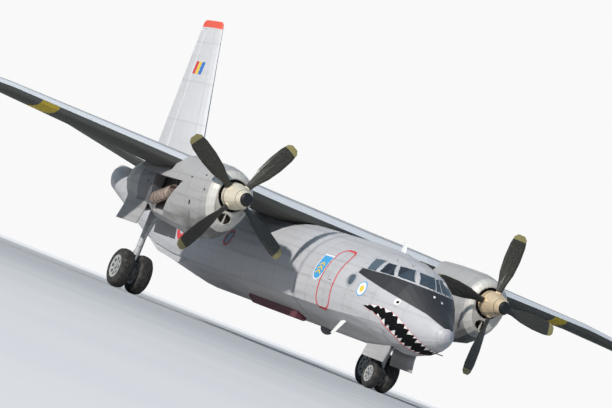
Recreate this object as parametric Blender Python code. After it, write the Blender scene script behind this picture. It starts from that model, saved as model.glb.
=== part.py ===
"""Twin-propeller high-wing military transport plane, parked on its landing gear.

Metres, +Z up. The nose points to -Y, the left wing to +X, and the floor is at Z = 0. Places along
the plane are stations, measured aft from a datum 0.2 m ahead of the nose.
"""
import math

import bpy
import bmesh
from mathutils import Matrix, Vector

# Overall size: stations of the nose and of the tail's end
NOSE_TIP, TAIL_TIP = 0.20, 24.00
DATUM_Y = -(NOSE_TIP + TAIL_TIP) / 2
SEAM = 0.0003
END_GAP = 0.03

# Fuselage: skin with its frames, and the stations where its sections meet
WALL = 0.06
NOSE_SEAM, COCKPIT_SEAM, CABIN_SEAM, TAIL_SEAM = 1.02, 5.40, 14.45, 22.60
CHINE_ANGLE = math.radians(25.3)
UPPER_STEPS, SIDE_STEPS, BELLY_STEPS = 8, 3, 4
# station, half width, height of the widest line, top, bottom, share of chined belly
BODY = (
    (0.215, 0.09, 1.80, 1.89, 1.70, 0.0),
    (0.27, 0.17, 1.80, 1.97, 1.62, 0.0),
    (0.36, 0.24, 1.80, 2.05, 1.54, 0.0),
    (0.52, 0.335, 1.805, 2.15, 1.455, 0.0),
    (0.74, 0.435, 1.815, 2.27, 1.37, 0.0),
    (1.02, 0.57, 1.835, 2.44, 1.285, 0.0),
    (1.40, 0.74, 1.88, 2.76, 1.18, 0.1),
    (1.75, 0.90, 1.93, 3.05, 1.12, 0.3),
    (2.20, 1.07, 1.98, 3.22, 1.07, 0.5),
    (3.00, 1.30, 2.04, 3.37, 1.03, 0.8),
    (4.00, 1.43, 2.07, 3.46, 1.02, 1.0),
    (5.40, 1.45, 2.07, 3.49, 1.02, 1.0),
    (13.60, 1.45, 2.07, 3.49, 1.02, 1.0),
    (14.45, 1.45, 2.10, 3.49, 1.10, 1.0),
    (16.00, 1.38, 2.18, 3.49, 1.25, 1.0),
    (17.80, 1.20, 2.36, 3.49, 1.54, 0.8),
    (19.60, 0.95, 2.58, 3.48, 1.90, 0.6),
    (21.20, 0.69, 2.80, 3.48, 2.26, 0.3),
    (22.60, 0.46, 3.00, 3.53, 2.56, 0.0),
    (23.60, 0.25, 3.14, 3.58, 2.78, 0.0),
    (23.97, 0.12, 3.20, 3.46, 2.98, 0.0),
)

# Hold floor, ramp and crew door
FLOOR_TOP, FLOOR_THICKNESS, FLOOR_HALF = 1.47, 0.05, 1.20
COCKPIT_FLOOR_START, FLOOR_JOIN, FLOOR_JOIN_GAP, CARGO_FLOOR_END = 1.60, 4.80, 0.01, 14.44
KEEL_X, KEEL_HALF, KEEL_BOTTOM, KEEL_END_GAP, KEEL_TOP_GAP = 0.6, 0.04, 0.9, 0.02, 0.01
RAMP_START, RAMP_END, RAMP_FRONT_HALF, RAMP_REAR_HALF = 14.60, 17.75, 1.06, 0.86
DOOR_START, DOOR_END, DOOR_BOTTOM, DOOR_TOP = 4.13, 4.72, 1.50, 2.93
DOOR_CORNER = 0.16
COCKPIT_SPLIT = 1.44
RAMP_SIDE_GAP, RAMP_FRONT_GAP, RAMP_AXIS_GAP, RAMP_AXIS_RISE = 0.016, 0.03, 0.08, 0.042
RAMP_LUG_X, RAMP_LUG_HALF, RAMP_LUG_REACH, RAMP_LUG_NOSE = 0.25, 0.04, 0.14, 0.025
RAMP_NOTCH_MARGIN, RAMP_PIN_REACH = (0.01, 0.03, 0.2), 0.06
# Hinge pins have as many sides as their bores, which clear the pins' corners as they turn
PIN_SIDES, PIN_RADIUS = 16, 0.014
PIN_BORE = PIN_RADIUS / math.cos(math.pi / PIN_SIDES) + 0.0003

# Wing
WING_SWEEP = 0.17063
WING_LEADING, WING_Z = 8.37, 3.62
ROOT_CHORD, TIP_CHORD = 3.50, 1.095
ROOT_HALF, FLAT_HALF, BREAK_HALF, TIP_HALF = 1.45, 3.10, 9.15, 14.60
ROOT_THICKNESS, TIP_THICKNESS = 0.18, 0.13
INCIDENCE, DIHEDRAL, ANHEDRAL = math.radians(3.0), math.radians(1.0), math.radians(2.2)
FLAP_SHARE, AILERON_SHARE = 0.72, 0.72
FLAP_SLOT, HINGE_SLOT = 0.03, 0.02
# name, start, end from the centreline along the span
FLAPS = (("flap_inner", 1.62, 3.10), ("flap_outer", 4.80, 9.05))
AILERON = (9.30, 14.10)

# Engines, nacelles and propellers
ENGINE_X, SHAFT_Z = 3.95, 3.20
PROPELLER_STATION, PROPELLER_RADIUS, BLADE_COUNT = 5.72, 1.95, 4
LEFT_PHASE, RIGHT_PHASE = math.radians(89), math.radians(60)
SPINNER_RADIUS, SHAFT_RADIUS = 0.345, 0.10
COWL_WALL, COWL_SEAM, LIP_HOLE = 0.03, 8.70, 0.42
# station, half width, height of the widest line, top, bottom
COWL = (
    (5.93, 0.46, 3.20, 3.66, 2.40),
    (5.97, 0.52, 3.20, 3.72, 2.35),
    (6.05, 0.57, 3.20, 3.78, 2.29),
    (6.20, 0.62, 3.20, 3.84, 2.20),
    (6.60, 0.67, 3.18, 3.91, 1.99),
    (7.20, 0.69, 3.15, 3.93, 1.92),
    (8.00, 0.70, 3.12, 3.95, 1.94),
    (COWL_SEAM - SEAM, 0.70, 3.10, 3.95, 2.00),
)
NACELLE_END, JET_Z, JET_LENGTH, JET_OUTER, JET_INNER, JET_TAPER = 12.55, 2.83, 0.13, 0.145, 0.125, 0.92
REAR_NACELLE = (
    (COWL_SEAM, 0.70, 3.10, 3.58, 2.00),
    (9.60, 0.69, 3.05, 3.58, 2.06),
    (11.20, 0.61, 2.96, 3.54, 2.14),
    (11.55, 0.54, 2.93, 3.50, 2.20),
    (11.90, 0.43, 2.90, 3.40, 2.31),
    (12.20, 0.31, 2.87, 3.26, 2.44),
    (12.42, 0.21, 2.85, 3.10, 2.58),
    (NACELLE_END, 0.15, JET_Z, 2.98, 2.68),
)
LIP_START, LIP_INSET = 5.935, 0.002
INTAKE_CUT = (5.5, 6.3)
CHIN_HALF, CHIN_RISE, CHIN_Z = 0.20, 0.13, 2.59
CHIN_STRUT_HALF, CHIN_STRUT_START, CHIN_STRUT_END, CHIN_STRUT_ROOT = 0.012, 5.96, 6.03, 0.03
ENGINE_SIZE = (0.68, 2.25, 1.00)
ENGINE_Z = 2.90
SHAFT_END = COWL_SEAM - ENGINE_SIZE[1] - 2 * SEAM
# half width of the gear bay's opening, its stations and its roof, and the hollow tail behind it
BAY_HALF, BAY_START, BAY_END, BAY_ROOF = 0.46, 9.75, 11.30, 3.20
BAY_WALL, BAY_HOLLOW, BAY_TOP_MARGIN, BAY_LOW = 0.06, (11.20, 11.55, 11.90), 0.1, 1.5
# outline of the exhaust's gap, as (station, height), and its pipe
EXHAUST_GAP = ((7.66, 3.14), (9.47, 3.14), (9.58, 2.25), (9.10, 1.80), (8.94, 2.10))
EXHAUST_WALL_X, EXHAUST_RADIUS, EXHAUST_BORE = 0.36, 0.16, 0.135
EXHAUST_START, EXHAUST_END = (8.35, 2.86), (9.40, 2.53)

# Tail
TAILPLANE_DIHEDRAL, TAILPLANE_Z = math.radians(9.0), 3.70

# Landing gear
MAIN_AXLE, MAIN_RADIUS, MAIN_TYRE, MAIN_TRACK = 10.40, 0.525, 0.36, 0.27
NOSE_AXLE, NOSE_RADIUS, NOSE_TYRE, NOSE_TRACK = 2.75, 0.35, 0.22, 0.185
WHEEL_STEPS = 24

for old in list(bpy.data.objects):
    bpy.data.objects.remove(old, do_unlink=True)
parts = bpy.data.collections.new("transport_plane")
cutters = bpy.data.collections.new("cutters")
for group in (parts, cutters):
    bpy.context.scene.collection.children.link(group)


# Materials: name, colour, roughness, metallic
FINISHES = {
    "grey_paint": ((0.55, 0.56, 0.58), 0.45, 0.0),
    "dark_paint": ((0.05, 0.055, 0.06), 0.6, 0.0),
    "bare_metal": ((0.72, 0.70, 0.66), 0.25, 1.0),
    "dark_metal": ((0.16, 0.15, 0.13), 0.5, 0.6),
    "rubber": ((0.03, 0.03, 0.03), 0.85, 0.0),
    "glass": ((0.10, 0.14, 0.18), 0.08, 0.0),
    "white_paint": ((0.85, 0.85, 0.82), 0.4, 0.0),
    "red_paint": ((0.40, 0.09, 0.11), 0.5, 0.0),
    "floor_metal": ((0.35, 0.37, 0.36), 0.6, 0.5),
    "seat_fabric": ((0.12, 0.16, 0.14), 0.9, 0.0),
}


def finish(name):
    material = bpy.data.materials.get(name)
    if material:
        return material
    material = bpy.data.materials.new(name)
    material.use_nodes = True
    shader = material.node_tree.nodes["Principled BSDF"]
    colour, roughness, metallic = FINISHES[name]
    shader.inputs["Base Color"].default_value = (*colour, 1.0)
    shader.inputs["Roughness"].default_value = roughness
    shader.inputs["Metallic"].default_value = metallic
    return material


def at(x, station, z):
    return Vector((x, DATUM_Y + station, z))


def between(low, high, share):
    return low + (high - low) * share


# Objects and Booleans
def add_object(name, bm, material=None):
    """Make a mesh object of the points and faces; without a material it is a cutter."""
    bmesh.ops.recalc_face_normals(bm, faces=bm.faces)
    mesh = bpy.data.meshes.new(name)
    bm.to_mesh(mesh)
    bm.free()
    piece = bpy.data.objects.new(name, mesh)
    if material:
        parts.objects.link(piece)
        mesh.materials.append(finish(material))
        mesh.shade_smooth()
        mesh.set_sharp_from_angle(angle=math.radians(35))
    else:
        cutters.objects.link(piece)
        piece.hide_render = True
        piece.display_type = "WIRE"
    return piece


def apply_boolean(piece, other, operation="DIFFERENCE"):
    modifier = piece.modifiers.new(operation.lower(), "BOOLEAN")
    modifier.object = other
    modifier.operation = operation
    modifier.solver = "EXACT"


def move_origin(piece, place):
    """Put the object's origin on its joint and leave its shape where it is."""
    piece.data.transform(Matrix.Translation(-place))
    piece.location = place


# Shapes
def bridge(bm, first, second):
    """Triangles between two rings, all with the same diagonal, so that fitted pieces match."""
    count = len(first)
    for i in range(count):
        after = (i + 1) % count
        bm.faces.new((first[i], first[after], second[after]))
        bm.faces.new((first[i], second[after], second[i]))


def loft(name, rings, material=None, tips=(None, None)):
    """A solid through rings of equal count, its ends flat or drawn to a tip."""
    bm = bmesh.new()
    loops = [[bm.verts.new(point) for point in ring] for ring in rings]
    for first, second in zip(loops, loops[1:]):
        bridge(bm, first, second)
    for loop, tip in ((loops[0], tips[0]), (loops[-1], tips[1])):
        if tip is None:
            bm.faces.new(loop)
            continue
        point = bm.verts.new(tip)
        for i, corner in enumerate(loop):
            bm.faces.new((corner, loop[(i + 1) % len(loop)], point))
    return add_object(name, bm, material)


def sleeve(name, outer, inner, material, tips=None):
    """A wall between outer and inner rings, open at both ends or closed in front at two tips."""
    bm = bmesh.new()
    skins = []
    for rings in (outer, inner):
        loops = [[bm.verts.new(point) for point in ring] for ring in rings]
        for first, second in zip(loops, loops[1:]):
            bridge(bm, first, second)
        skins.append(loops)
    bridge(bm, skins[0][-1], skins[1][-1])
    if tips is None:
        bridge(bm, skins[0][0], skins[1][0])
    else:
        for loops, tip in zip(skins, tips):
            point = bm.verts.new(tip)
            for i, corner in enumerate(loops[0]):
                bm.faces.new((corner, loops[0][(i + 1) % len(loops[0])], point))
    return add_object(name, bm, material)


def box(name, low, high, material=None, bevel=0.0, along=None):
    """A box between two corners, with its edges rounded: all of them, or those along one axis."""
    low, high = Vector(low), Vector(high)
    bm = bmesh.new()
    bmesh.ops.create_cube(bm, size=1.0)
    size = high - low
    bmesh.ops.transform(
        bm, matrix=Matrix.Translation((low + high) / 2) @ Matrix.Diagonal((*size, 1)), verts=bm.verts
    )
    if bevel:
        edges = [
            edge for edge in bm.edges
            if along is None or abs((edge.verts[0].co - edge.verts[1].co)[along]) > 1e-6
        ]
        bmesh.ops.bevel(bm, geom=edges, offset=bevel, segments=3, affect="EDGES", profile=0.5)
    return add_object(name, bm, material)


def rod(name, start, end, radius, material=None, end_radius=None, steps=16):
    """A round bar, or a cone, between two points."""
    start, end = Vector(start), Vector(end)
    bm = bmesh.new()
    bmesh.ops.create_cone(
        bm, cap_ends=True, segments=steps, radius1=radius,
        radius2=radius if end_radius is None else end_radius, depth=(end - start).length,
    )
    turn = (end - start).to_track_quat("Z", "Y").to_matrix().to_4x4()
    bmesh.ops.transform(bm, matrix=Matrix.Translation((start + end) / 2) @ turn, verts=bm.verts)
    return add_object(name, bm, material)


def hinge_pins(fixed, moving, start, end):
    """Pins on the fixed piece along the hinge line, which turn in bores at both ends of the moving one."""
    out = (end - start).normalized()
    for place, way in ((start, out), (end, -out)):
        pin = rod("pin", place - way * (END_GAP + 0.05), place + way * 0.06, PIN_RADIUS)
        apply_boolean(fixed, pin, "UNION")
        apply_boolean(moving, rod("bore", place - way * 0.05, place + way * 0.065, PIN_BORE))
    move_origin(moving, start)


def plan_prism(name, outline, low, high):
    """A cutter with an outline in plan, given as (x, station), between two heights."""
    rings = [[at(x, station, z) for x, station in outline] for z in (low, high)]
    return loft(name, rings)


def turned(name, profile, centre, steps=WHEEL_STEPS):
    """A solid turned about a line along X, from (place along X, radius) pairs round its section."""
    bm = bmesh.new()
    loops = []
    for i in range(steps):
        angle = 2 * math.pi * i / steps
        loops.append([
            bm.verts.new(centre + Vector((x, radius * math.cos(angle), radius * math.sin(angle))))
            for x, radius in profile
        ])
    for i, loop in enumerate(loops):
        bridge(bm, loop, loops[(i + 1) % steps])
    return add_object(name, bm)


# Fuselage sections
def row_at(table, station):
    """The row for a station, between the table's rows."""
    for low, high in zip(table, table[1:]):
        if station <= high[0] + 1e-9:
            share = (station - low[0]) / (high[0] - low[0])
            return [between(a, b, share) for a, b in zip(low, high)]
    return table[-1]


def body_at(station):
    return row_at(BODY, station)[1:]


def body_ring(station, inset=0.0):
    half, middle, top, bottom, chined = body_at(station)
    half, up, down = half - inset, top - middle - inset, middle - bottom - inset
    quarter = math.pi / 2
    side = [CHINE_ANGLE * i / SIDE_STEPS for i in range(1, SIDE_STEPS + 1)]
    belly = [
        CHINE_ANGLE + (quarter - CHINE_ANGLE) * i / BELLY_STEPS for i in range(1, BELLY_STEPS + 1)
    ]
    outline = [
        (half * math.sin(quarter * i / UPPER_STEPS), up * math.cos(quarter * i / UPPER_STEPS))
        for i in range(UPPER_STEPS + 1)
    ]
    edge_half, edge_drop = half * math.cos(CHINE_ANGLE), half * math.sin(CHINE_ANGLE)
    for angle in side + belly:
        oval = (half * math.cos(angle), -down * math.sin(angle))
        if angle <= CHINE_ANGLE + 1e-9:
            square = (half * math.cos(angle), -half * math.sin(angle))
        else:
            share = (quarter - angle) / (quarter - CHINE_ANGLE)
            square = (edge_half * share, -down + (down - edge_drop) * share * share)
        outline.append(tuple(between(a, b, chined) for a, b in zip(oval, square)))
    mirrored = [(-x, z) for x, z in outline[-2:0:-1]]
    return [at(x, station, middle + z) for x, z in outline + mirrored]


def body_stations(start, end):
    inside = [row[0] for row in BODY if start + 0.01 < row[0] < end - 0.01]
    return [start, *inside, end]


def body_sleeve(name, start, end, material="grey_paint"):
    stations = body_stations(start, end)
    outer = [body_ring(station) for station in stations]
    inner = [body_ring(station, WALL) for station in stations]
    return sleeve(name, outer, inner, material)


def end_cone(name, stations, tip, z):
    """A hollow end of the fuselage, from its closed tip to the seam with the next section."""
    inward = Vector((0, math.copysign(WALL, stations[-1] - tip), 0))
    inner = [[point + inward for point in body_ring(station, WALL)] for station in stations[:-1]]
    inner.append(body_ring(stations[-1], WALL))
    tips = (at(0, tip, z), at(0, tip, z) + inward)
    return sleeve(name, [body_ring(station) for station in stations], inner, "grey_paint", tips)


nose_stations = [row[0] for row in BODY if row[0] < NOSE_SEAM - 0.01] + [NOSE_SEAM - SEAM]
nose_cone = end_cone("nose_cone", nose_stations, NOSE_TIP, BODY[0][2])
cockpit_shell = body_sleeve("cockpit_shell", NOSE_SEAM, COCKPIT_SEAM - SEAM)
cockpit_belly = body_sleeve("cockpit_belly", NOSE_SEAM, COCKPIT_SEAM - SEAM)
split = (at(-2, 0, COCKPIT_SPLIT), at(2, COCKPIT_SEAM + 1, COCKPIT_SPLIT))
apply_boolean(cockpit_shell, box("below_split", split[0] - Vector((0, 0, 2)), split[1]))
above_low, above_high = split[0] - Vector((0, 0, SEAM)), split[1] + Vector((0, 0, 3))
apply_boolean(cockpit_belly, box("above_split", above_low, above_high))
cabin_shell = body_sleeve("cabin_shell", COCKPIT_SEAM, CABIN_SEAM - SEAM)
tail_shell = body_sleeve("tail_shell", CABIN_SEAM, TAIL_SEAM - SEAM)
tail_stations = [row[0] for row in reversed(BODY) if row[0] > TAIL_SEAM + 0.01] + [TAIL_SEAM]
tail_cone = end_cone("tail_cone", tail_stations, TAIL_TIP, BODY[-1][2])

# Solids of the fuselage, used to fit other pieces against its outside and inside
body_solid = loft("body_solid", [body_ring(s, -SEAM) for s in body_stations(NOSE_SEAM, BODY[-1][0])])
inner_solid = loft("inner_solid", [body_ring(s, WALL + SEAM) for s in body_stations(NOSE_SEAM, 17.80)])

# Crew door on the right side, cut from the same wall
door_hole = box(
    "door_hole", at(-2.0, DOOR_START, DOOR_BOTTOM), at(-0.8, DOOR_END, DOOR_TOP),
    bevel=DOOR_CORNER, along=0,
)
door_shape = box(
    "door_shape", at(-2.0, DOOR_START + SEAM, DOOR_BOTTOM + SEAM),
    at(-0.8, DOOR_END - SEAM, DOOR_TOP - SEAM), bevel=DOOR_CORNER, along=0,
)
apply_boolean(cockpit_shell, door_hole)
crew_door = body_sleeve("crew_door", NOSE_SEAM, COCKPIT_SEAM - SEAM)
apply_boolean(crew_door, door_shape, "INTERSECT")

# Round windows: name, side, station, height, radius
ROUND_WINDOWS = (
    ("right_front", -1, 3.42, 2.32, 0.14),
    ("left_front", 1, 3.42, 2.32, 0.14),
    ("right_rear", -1, 10.96, 2.36, 0.20),
    ("left_middle", 1, 7.00, 2.36, 0.20),
    ("left_rear", 1, 10.96, 2.36, 0.20),
)
for name, side, station, height, radius in ROUND_WINDOWS:
    shell = cockpit_shell if station < COCKPIT_SEAM else cabin_shell
    hole = rod(
        f"{name}_hole", at(side * 1.1, station, height), at(side * 1.7, station, height), radius
    )
    apply_boolean(shell, hole)

# Cockpit windows: outlines of the side panes as (station, height), cut along X
SIDE_PANES = {
    "quarter": ((3.16, 2.70), (3.33, 3.02), (2.97, 3.05), (2.87, 2.72)),
    "triangle": ((2.74, 2.735), (2.84, 3.02), (2.62, 3.03), (2.29, 2.76)),
    "sliding": ((2.17, 2.775), (2.50, 3.04), (2.12, 3.07), (1.71, 2.775)),
}
# Outlines of the front panes as (x, height), cut along Y
FRONT_PANES = {
    "centre": ((-0.07, 2.765), (0.07, 2.765), (0.035, 3.04), (-0.035, 3.04)),
    "right": ((-0.47, 2.775), (-0.107, 2.775), (-0.062, 3.055), (-0.38, 3.06)),
    "left": ((0.47, 2.775), (0.107, 2.775), (0.062, 3.055), (0.38, 3.06)),
}
# Small oval panes in the roof: x, station, half length, half width
ROOF_PANES = ((0.59, 2.80, 0.11, 0.05), (0.40, 2.32, 0.11, 0.05))
for side in (-1, 1):
    for name, outline in SIDE_PANES.items():
        rings = [[at(side * x, s, z) for s, z in outline] for x in (0.2, 1.6)]
        apply_boolean(cockpit_shell, loft(f"{name}_pane_{side}", rings))
    for x, station, length, width in ROOF_PANES:
        pane = [
            (side * x + width * math.cos(a), station + length * math.sin(a))
            for a in [math.pi * i / 6 for i in range(12)]
        ]
        apply_boolean(cockpit_shell, plan_prism(f"roof_pane_{side}_{station}", pane, 2.9, 3.6))
for name, outline in FRONT_PANES.items():
    rings = [[at(x, s, z) for x, z in outline] for s in (1.0, 2.2)]
    apply_boolean(cockpit_shell, loft(f"{name}_pane", rings))

# One glazing shell behind all the panes
GLASS, GLASS_START, GLASS_END, GLASS_BOTTOM = 0.012, 1.25, 3.40, 2.60
glass_stations = body_stations(NOSE_SEAM, COCKPIT_SEAM - SEAM)
cockpit_glass = sleeve(
    "cockpit_glass",
    [body_ring(station, WALL + SEAM) for station in glass_stations],
    [body_ring(station, WALL + SEAM + GLASS) for station in glass_stations],
    "glass",
)
glass_reach = box("glass_reach", at(-2, GLASS_START, GLASS_BOTTOM), at(2, GLASS_END, 4))
apply_boolean(cockpit_glass, glass_reach, "INTERSECT")

# Rear ramp, hinged on two lugs at its front edge
ramp_outline = (
    (-RAMP_FRONT_HALF, RAMP_START), (RAMP_FRONT_HALF, RAMP_START),
    (RAMP_REAR_HALF, RAMP_END), (-RAMP_REAR_HALF, RAMP_END),
)
ramp_hole = plan_prism("ramp_hole", ramp_outline, 0.5, 1.95)
ramp_shape = plan_prism(
    "ramp_shape",
    [
        (
            math.copysign(abs(x) - RAMP_SIDE_GAP, x),
            s + RAMP_FRONT_GAP if s == RAMP_START else s - RAMP_SIDE_GAP,
        )
        for x, s in ramp_outline
    ],
    0.5, 1.94,
)
apply_boolean(tail_shell, ramp_hole)
cargo_ramp = body_sleeve("cargo_ramp", CABIN_SEAM, TAIL_SEAM - SEAM)
apply_boolean(cargo_ramp, ramp_shape, "INTERSECT")
ramp_hinge = at(0, RAMP_START + RAMP_AXIS_GAP, body_at(RAMP_START)[3] + RAMP_AXIS_RISE)
for x in (-RAMP_LUG_X, RAMP_LUG_X):
    low = ramp_hinge + Vector((x - RAMP_LUG_HALF, -RAMP_LUG_REACH, -RAMP_LUG_NOSE))
    high = ramp_hinge + Vector((x + RAMP_LUG_HALF, RAMP_LUG_NOSE, RAMP_LUG_NOSE))
    apply_boolean(tail_shell, box("ramp_lug", low, high), "UNION")
    notch = Vector(RAMP_NOTCH_MARGIN)
    apply_boolean(cargo_ramp, box("ramp_notch", low - notch, high + notch))
    reach = Vector((RAMP_LUG_HALF + RAMP_PIN_REACH, 0, 0))
    place = ramp_hinge + Vector((x, 0, 0))
    apply_boolean(tail_shell, rod("ramp_pin", place - reach, place + reach, PIN_RADIUS), "UNION")
    bore = rod("ramp_bore", place - reach * 1.05, place + reach * 1.05, PIN_BORE)
    apply_boolean(cargo_ramp, bore)
move_origin(cargo_ramp, ramp_hinge)

# Hold floor on two keel beams, and the cockpit floor
def floor_plate(name, start, end):
    plate = box(
        name, at(-FLOOR_HALF, start, FLOOR_TOP - FLOOR_THICKNESS), at(FLOOR_HALF, end, FLOOR_TOP),
        "floor_metal",
    )
    for x in (-KEEL_X, KEEL_X):
        low = at(x - KEEL_HALF, start + KEEL_END_GAP, KEEL_BOTTOM)
        keel = box(f"{name}_keel", low, at(x + KEEL_HALF, end - KEEL_END_GAP, FLOOR_TOP - KEEL_TOP_GAP))
        apply_boolean(plate, keel, "UNION")
    apply_boolean(plate, inner_solid, "INTERSECT")
    return plate


cargo_floor = floor_plate("cargo_floor", FLOOR_JOIN, CARGO_FLOOR_END)
cockpit_floor = floor_plate("cockpit_floor", COCKPIT_FLOOR_START, FLOOR_JOIN - FLOOR_JOIN_GAP)

# Flight deck: instrument panel with its hood and pedestal, and two seats
DECK = FLOOR_TOP + SEAM
# half width, stations, bottom and top of the panel, its hood and its pedestal
PANEL = (0.58, 1.84, 1.90, 2.10, 2.52)
PANEL_PARTS = (("hood", 0.50, 1.66, 1.895, 2.50, 2.54), ("pedestal", 0.14, 1.80, 2.06, DECK, 2.13))


def centred_box(name, x, half, start, end, bottom, top, **more):
    return box(name, at(x - half, start, bottom), at(x + half, end, top), **more)


instrument_panel = centred_box("instrument_panel", 0, *PANEL, material="dark_paint")
for name, *sizes in PANEL_PARTS:
    apply_boolean(instrument_panel, centred_box(name, 0, *sizes), "UNION")
# half width, stations, bottom, top and rounding of the cushion and of what is joined to it
SEAT_X, SEAT_ROUNDING = 0.42, 0.03
CUSHION = (0.23, 2.20, 2.66, 1.84, 1.96)
SEAT_PARTS = (
    ("column", (0.11, 2.32, 2.52, DECK, 1.90), 0.0),
    ("back", (0.23, 2.60, 2.70, 1.90, 2.55), SEAT_ROUNDING),
    ("head_rest", (0.13, 2.61, 2.69, 2.50, 2.72), SEAT_ROUNDING),
)
for side_name, side in (("left", 1), ("right", -1)):
    x = side * SEAT_X
    seat = centred_box(f"pilot_seat_{side_name}", x, *CUSHION, material="seat_fabric", bevel=SEAT_ROUNDING)
    for part_name, sizes, rounding in SEAT_PARTS:
        part = centred_box(f"seat_{part_name}_{side_name}", x, *sizes, bevel=rounding)
        apply_boolean(seat, part, "UNION")

# Wing
def wing_chord(x):
    share = max(0.0, abs(x) - FLAT_HALF) / (TIP_HALF - FLAT_HALF)
    return between(ROOT_CHORD, TIP_CHORD, share)


def wing_leading(x):
    return WING_LEADING + WING_SWEEP * max(0.0, abs(x) - FLAT_HALF)


def wing_height(x):
    """Rises from the fuselage to the break, then falls to the tip."""
    rise = math.tan(DIHEDRAL) * max(0.0, min(abs(x), BREAK_HALF) - ROOT_HALF)
    return WING_Z + rise - math.tan(ANHEDRAL) * max(0.0, abs(x) - BREAK_HALF)


def wing_thickness(x):
    return between(ROOT_THICKNESS, TIP_THICKNESS, min(1.0, abs(x) / TIP_HALF))


def half_thickness(share, thickness):
    """Half the height of a symmetrical aerofoil at a share of its chord, as a share of the chord."""
    return 5 * thickness * (
        0.2969 * math.sqrt(share) - 0.1260 * share - 0.3516 * share ** 2
        + 0.2843 * share ** 3 - 0.1036 * share ** 4
    )


def foil_outline(chord, thickness, start, end, steps=9, blunt=0.006):
    """Points (aft, up) round an aerofoil from a start share to an end share of its chord."""
    shares = [
        start + (end - start) * (1 - math.cos(math.pi * i / steps)) / 2 for i in range(steps + 1)
    ]
    upper = [(share * chord, half_thickness(share, thickness) * chord + blunt / 2) for share in shares]
    lower = [(aft, -up) for aft, up in reversed(upper)]
    if start == 0:
        upper = [(0.0, 0.0)] + upper[1:]
        lower = lower[:-1]
    return upper + lower


def hinged_outline(chord, thickness, start, steps=5, blunt=0.006):
    """A control surface: a nose round about its hinge, then the aerofoil to its trailing edge."""
    hinge = start * chord
    radius = half_thickness(start, thickness) * chord + blunt / 2
    nose = [
        (hinge - radius * math.sin(angle), radius * math.cos(angle))
        for angle in [math.pi * (i / 6) for i in range(1, 6)]
    ]
    rest = foil_outline(chord, thickness, start, 1.0, steps, blunt)
    return rest + nose[::-1]


def wing_ring(x, outline):
    leading, height = wing_leading(x), wing_height(x)
    cos, sin = math.cos(INCIDENCE), math.sin(INCIDENCE)
    return [at(x, leading + a * cos + u * sin, height - a * sin + u * cos) for a, u in outline]


def wing_foil(x, start=0.0, end=1.0):
    return wing_ring(x, foil_outline(wing_chord(x), wing_thickness(x), start, end))


def wing_point(x, share, up=0.0):
    return wing_ring(x, [(share * wing_chord(x), up)])[0]


CENTRE_XS = (-BREAK_HALF, -FLAT_HALF, -ROOT_HALF, ROOT_HALF, FLAT_HALF, BREAK_HALF)
wing_centre = loft("wing_centre", [wing_foil(x) for x in CENTRE_XS], "grey_paint")


def grown_foil(x, grow=0.0006):
    outline = foil_outline(wing_chord(x) + grow, wing_thickness(x), 0.0, 1.0, blunt=0.006 + 2 * grow)
    moved = [(a + (0 if 0 < i < len(outline) else -grow), u) for i, (a, u) in enumerate(outline)]
    return wing_ring(x, moved)


wing_solid = loft("wing_solid", [grown_foil(x) for x in CENTRE_XS])
apply_boolean(cabin_shell, wing_solid)


def flap_cut(name, side, start, end, share):
    """A cutter that clears the wing behind a share of its chord between two places on the span."""
    outline = []
    for x, reach in ((start, share), (end, share), (end, 1.25), (start, 1.25)):
        outline.append((side * x, wing_leading(x) + wing_chord(x) * reach))
    return plan_prism(name, outline, 2.4, 4.4)


for side_name, side in (("left", 1), ("right", -1)):
    for flap_name, start, end in FLAPS:
        name = f"{flap_name}_{side_name}"
        apply_boolean(wing_centre, flap_cut(f"{name}_gap", side, start, end, FLAP_SHARE))
        inner, outer = start + END_GAP, end - END_GAP
        rings, hinge = [], []
        for x in (inner, outer):
            radius = half_thickness(FLAP_SHARE, wing_thickness(x)) * wing_chord(x)
            nose = FLAP_SHARE + (radius + FLAP_SLOT) / wing_chord(x)
            rings.append(wing_ring(side * x, hinged_outline(wing_chord(x), wing_thickness(x), nose)))
            hinge.append(wing_point(side * x, nose))
        flap = loft(name, rings, "grey_paint")
        hinge_pins(wing_centre, flap, *hinge)
    wing_xs = (BREAK_HALF + SEAM, TIP_HALF - 0.25, TIP_HALF)
    rings = [wing_foil(side * x) for x in wing_xs[:2]]
    tip_outline = foil_outline(wing_chord(TIP_HALF) * 0.72, wing_thickness(TIP_HALF) * 0.5, 0, 1)
    shift = wing_chord(TIP_HALF) * 0.2
    rings.append(wing_ring(side * TIP_HALF, [(a + shift, u) for a, u in tip_outline]))
    wing = loft(f"wing_{side_name}", rings, "grey_paint")
    start, end = AILERON
    apply_boolean(wing, flap_cut(f"aileron_{side_name}_gap", side, start, end, AILERON_SHARE))
    rings, hinge = [], []
    for x in (start + END_GAP, end - END_GAP):
        radius = half_thickness(AILERON_SHARE, wing_thickness(x)) * wing_chord(x)
        nose = AILERON_SHARE + (radius + HINGE_SLOT) / wing_chord(x)
        rings.append(wing_ring(side * x, hinged_outline(wing_chord(x), wing_thickness(x), nose)))
        hinge.append(wing_point(side * x, nose))
    aileron = loft(f"aileron_{side_name}", rings, "grey_paint")
    hinge_pins(wing, aileron, *hinge)

# Aerials and fittings on the outside, each cut to sit against the skin
def blade(name, rows, thickness, material):
    """A swept blade through rows of (x, height, leading edge, chord)."""
    rings = []
    for x, z, leading, chord in rows:
        rings.append([at(x + u, leading + a, z) for a, u in foil_outline(chord, thickness, 0, 1, steps=5)])
    piece = loft(name, rings, material)
    apply_boolean(piece, body_solid)
    return piece


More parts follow.
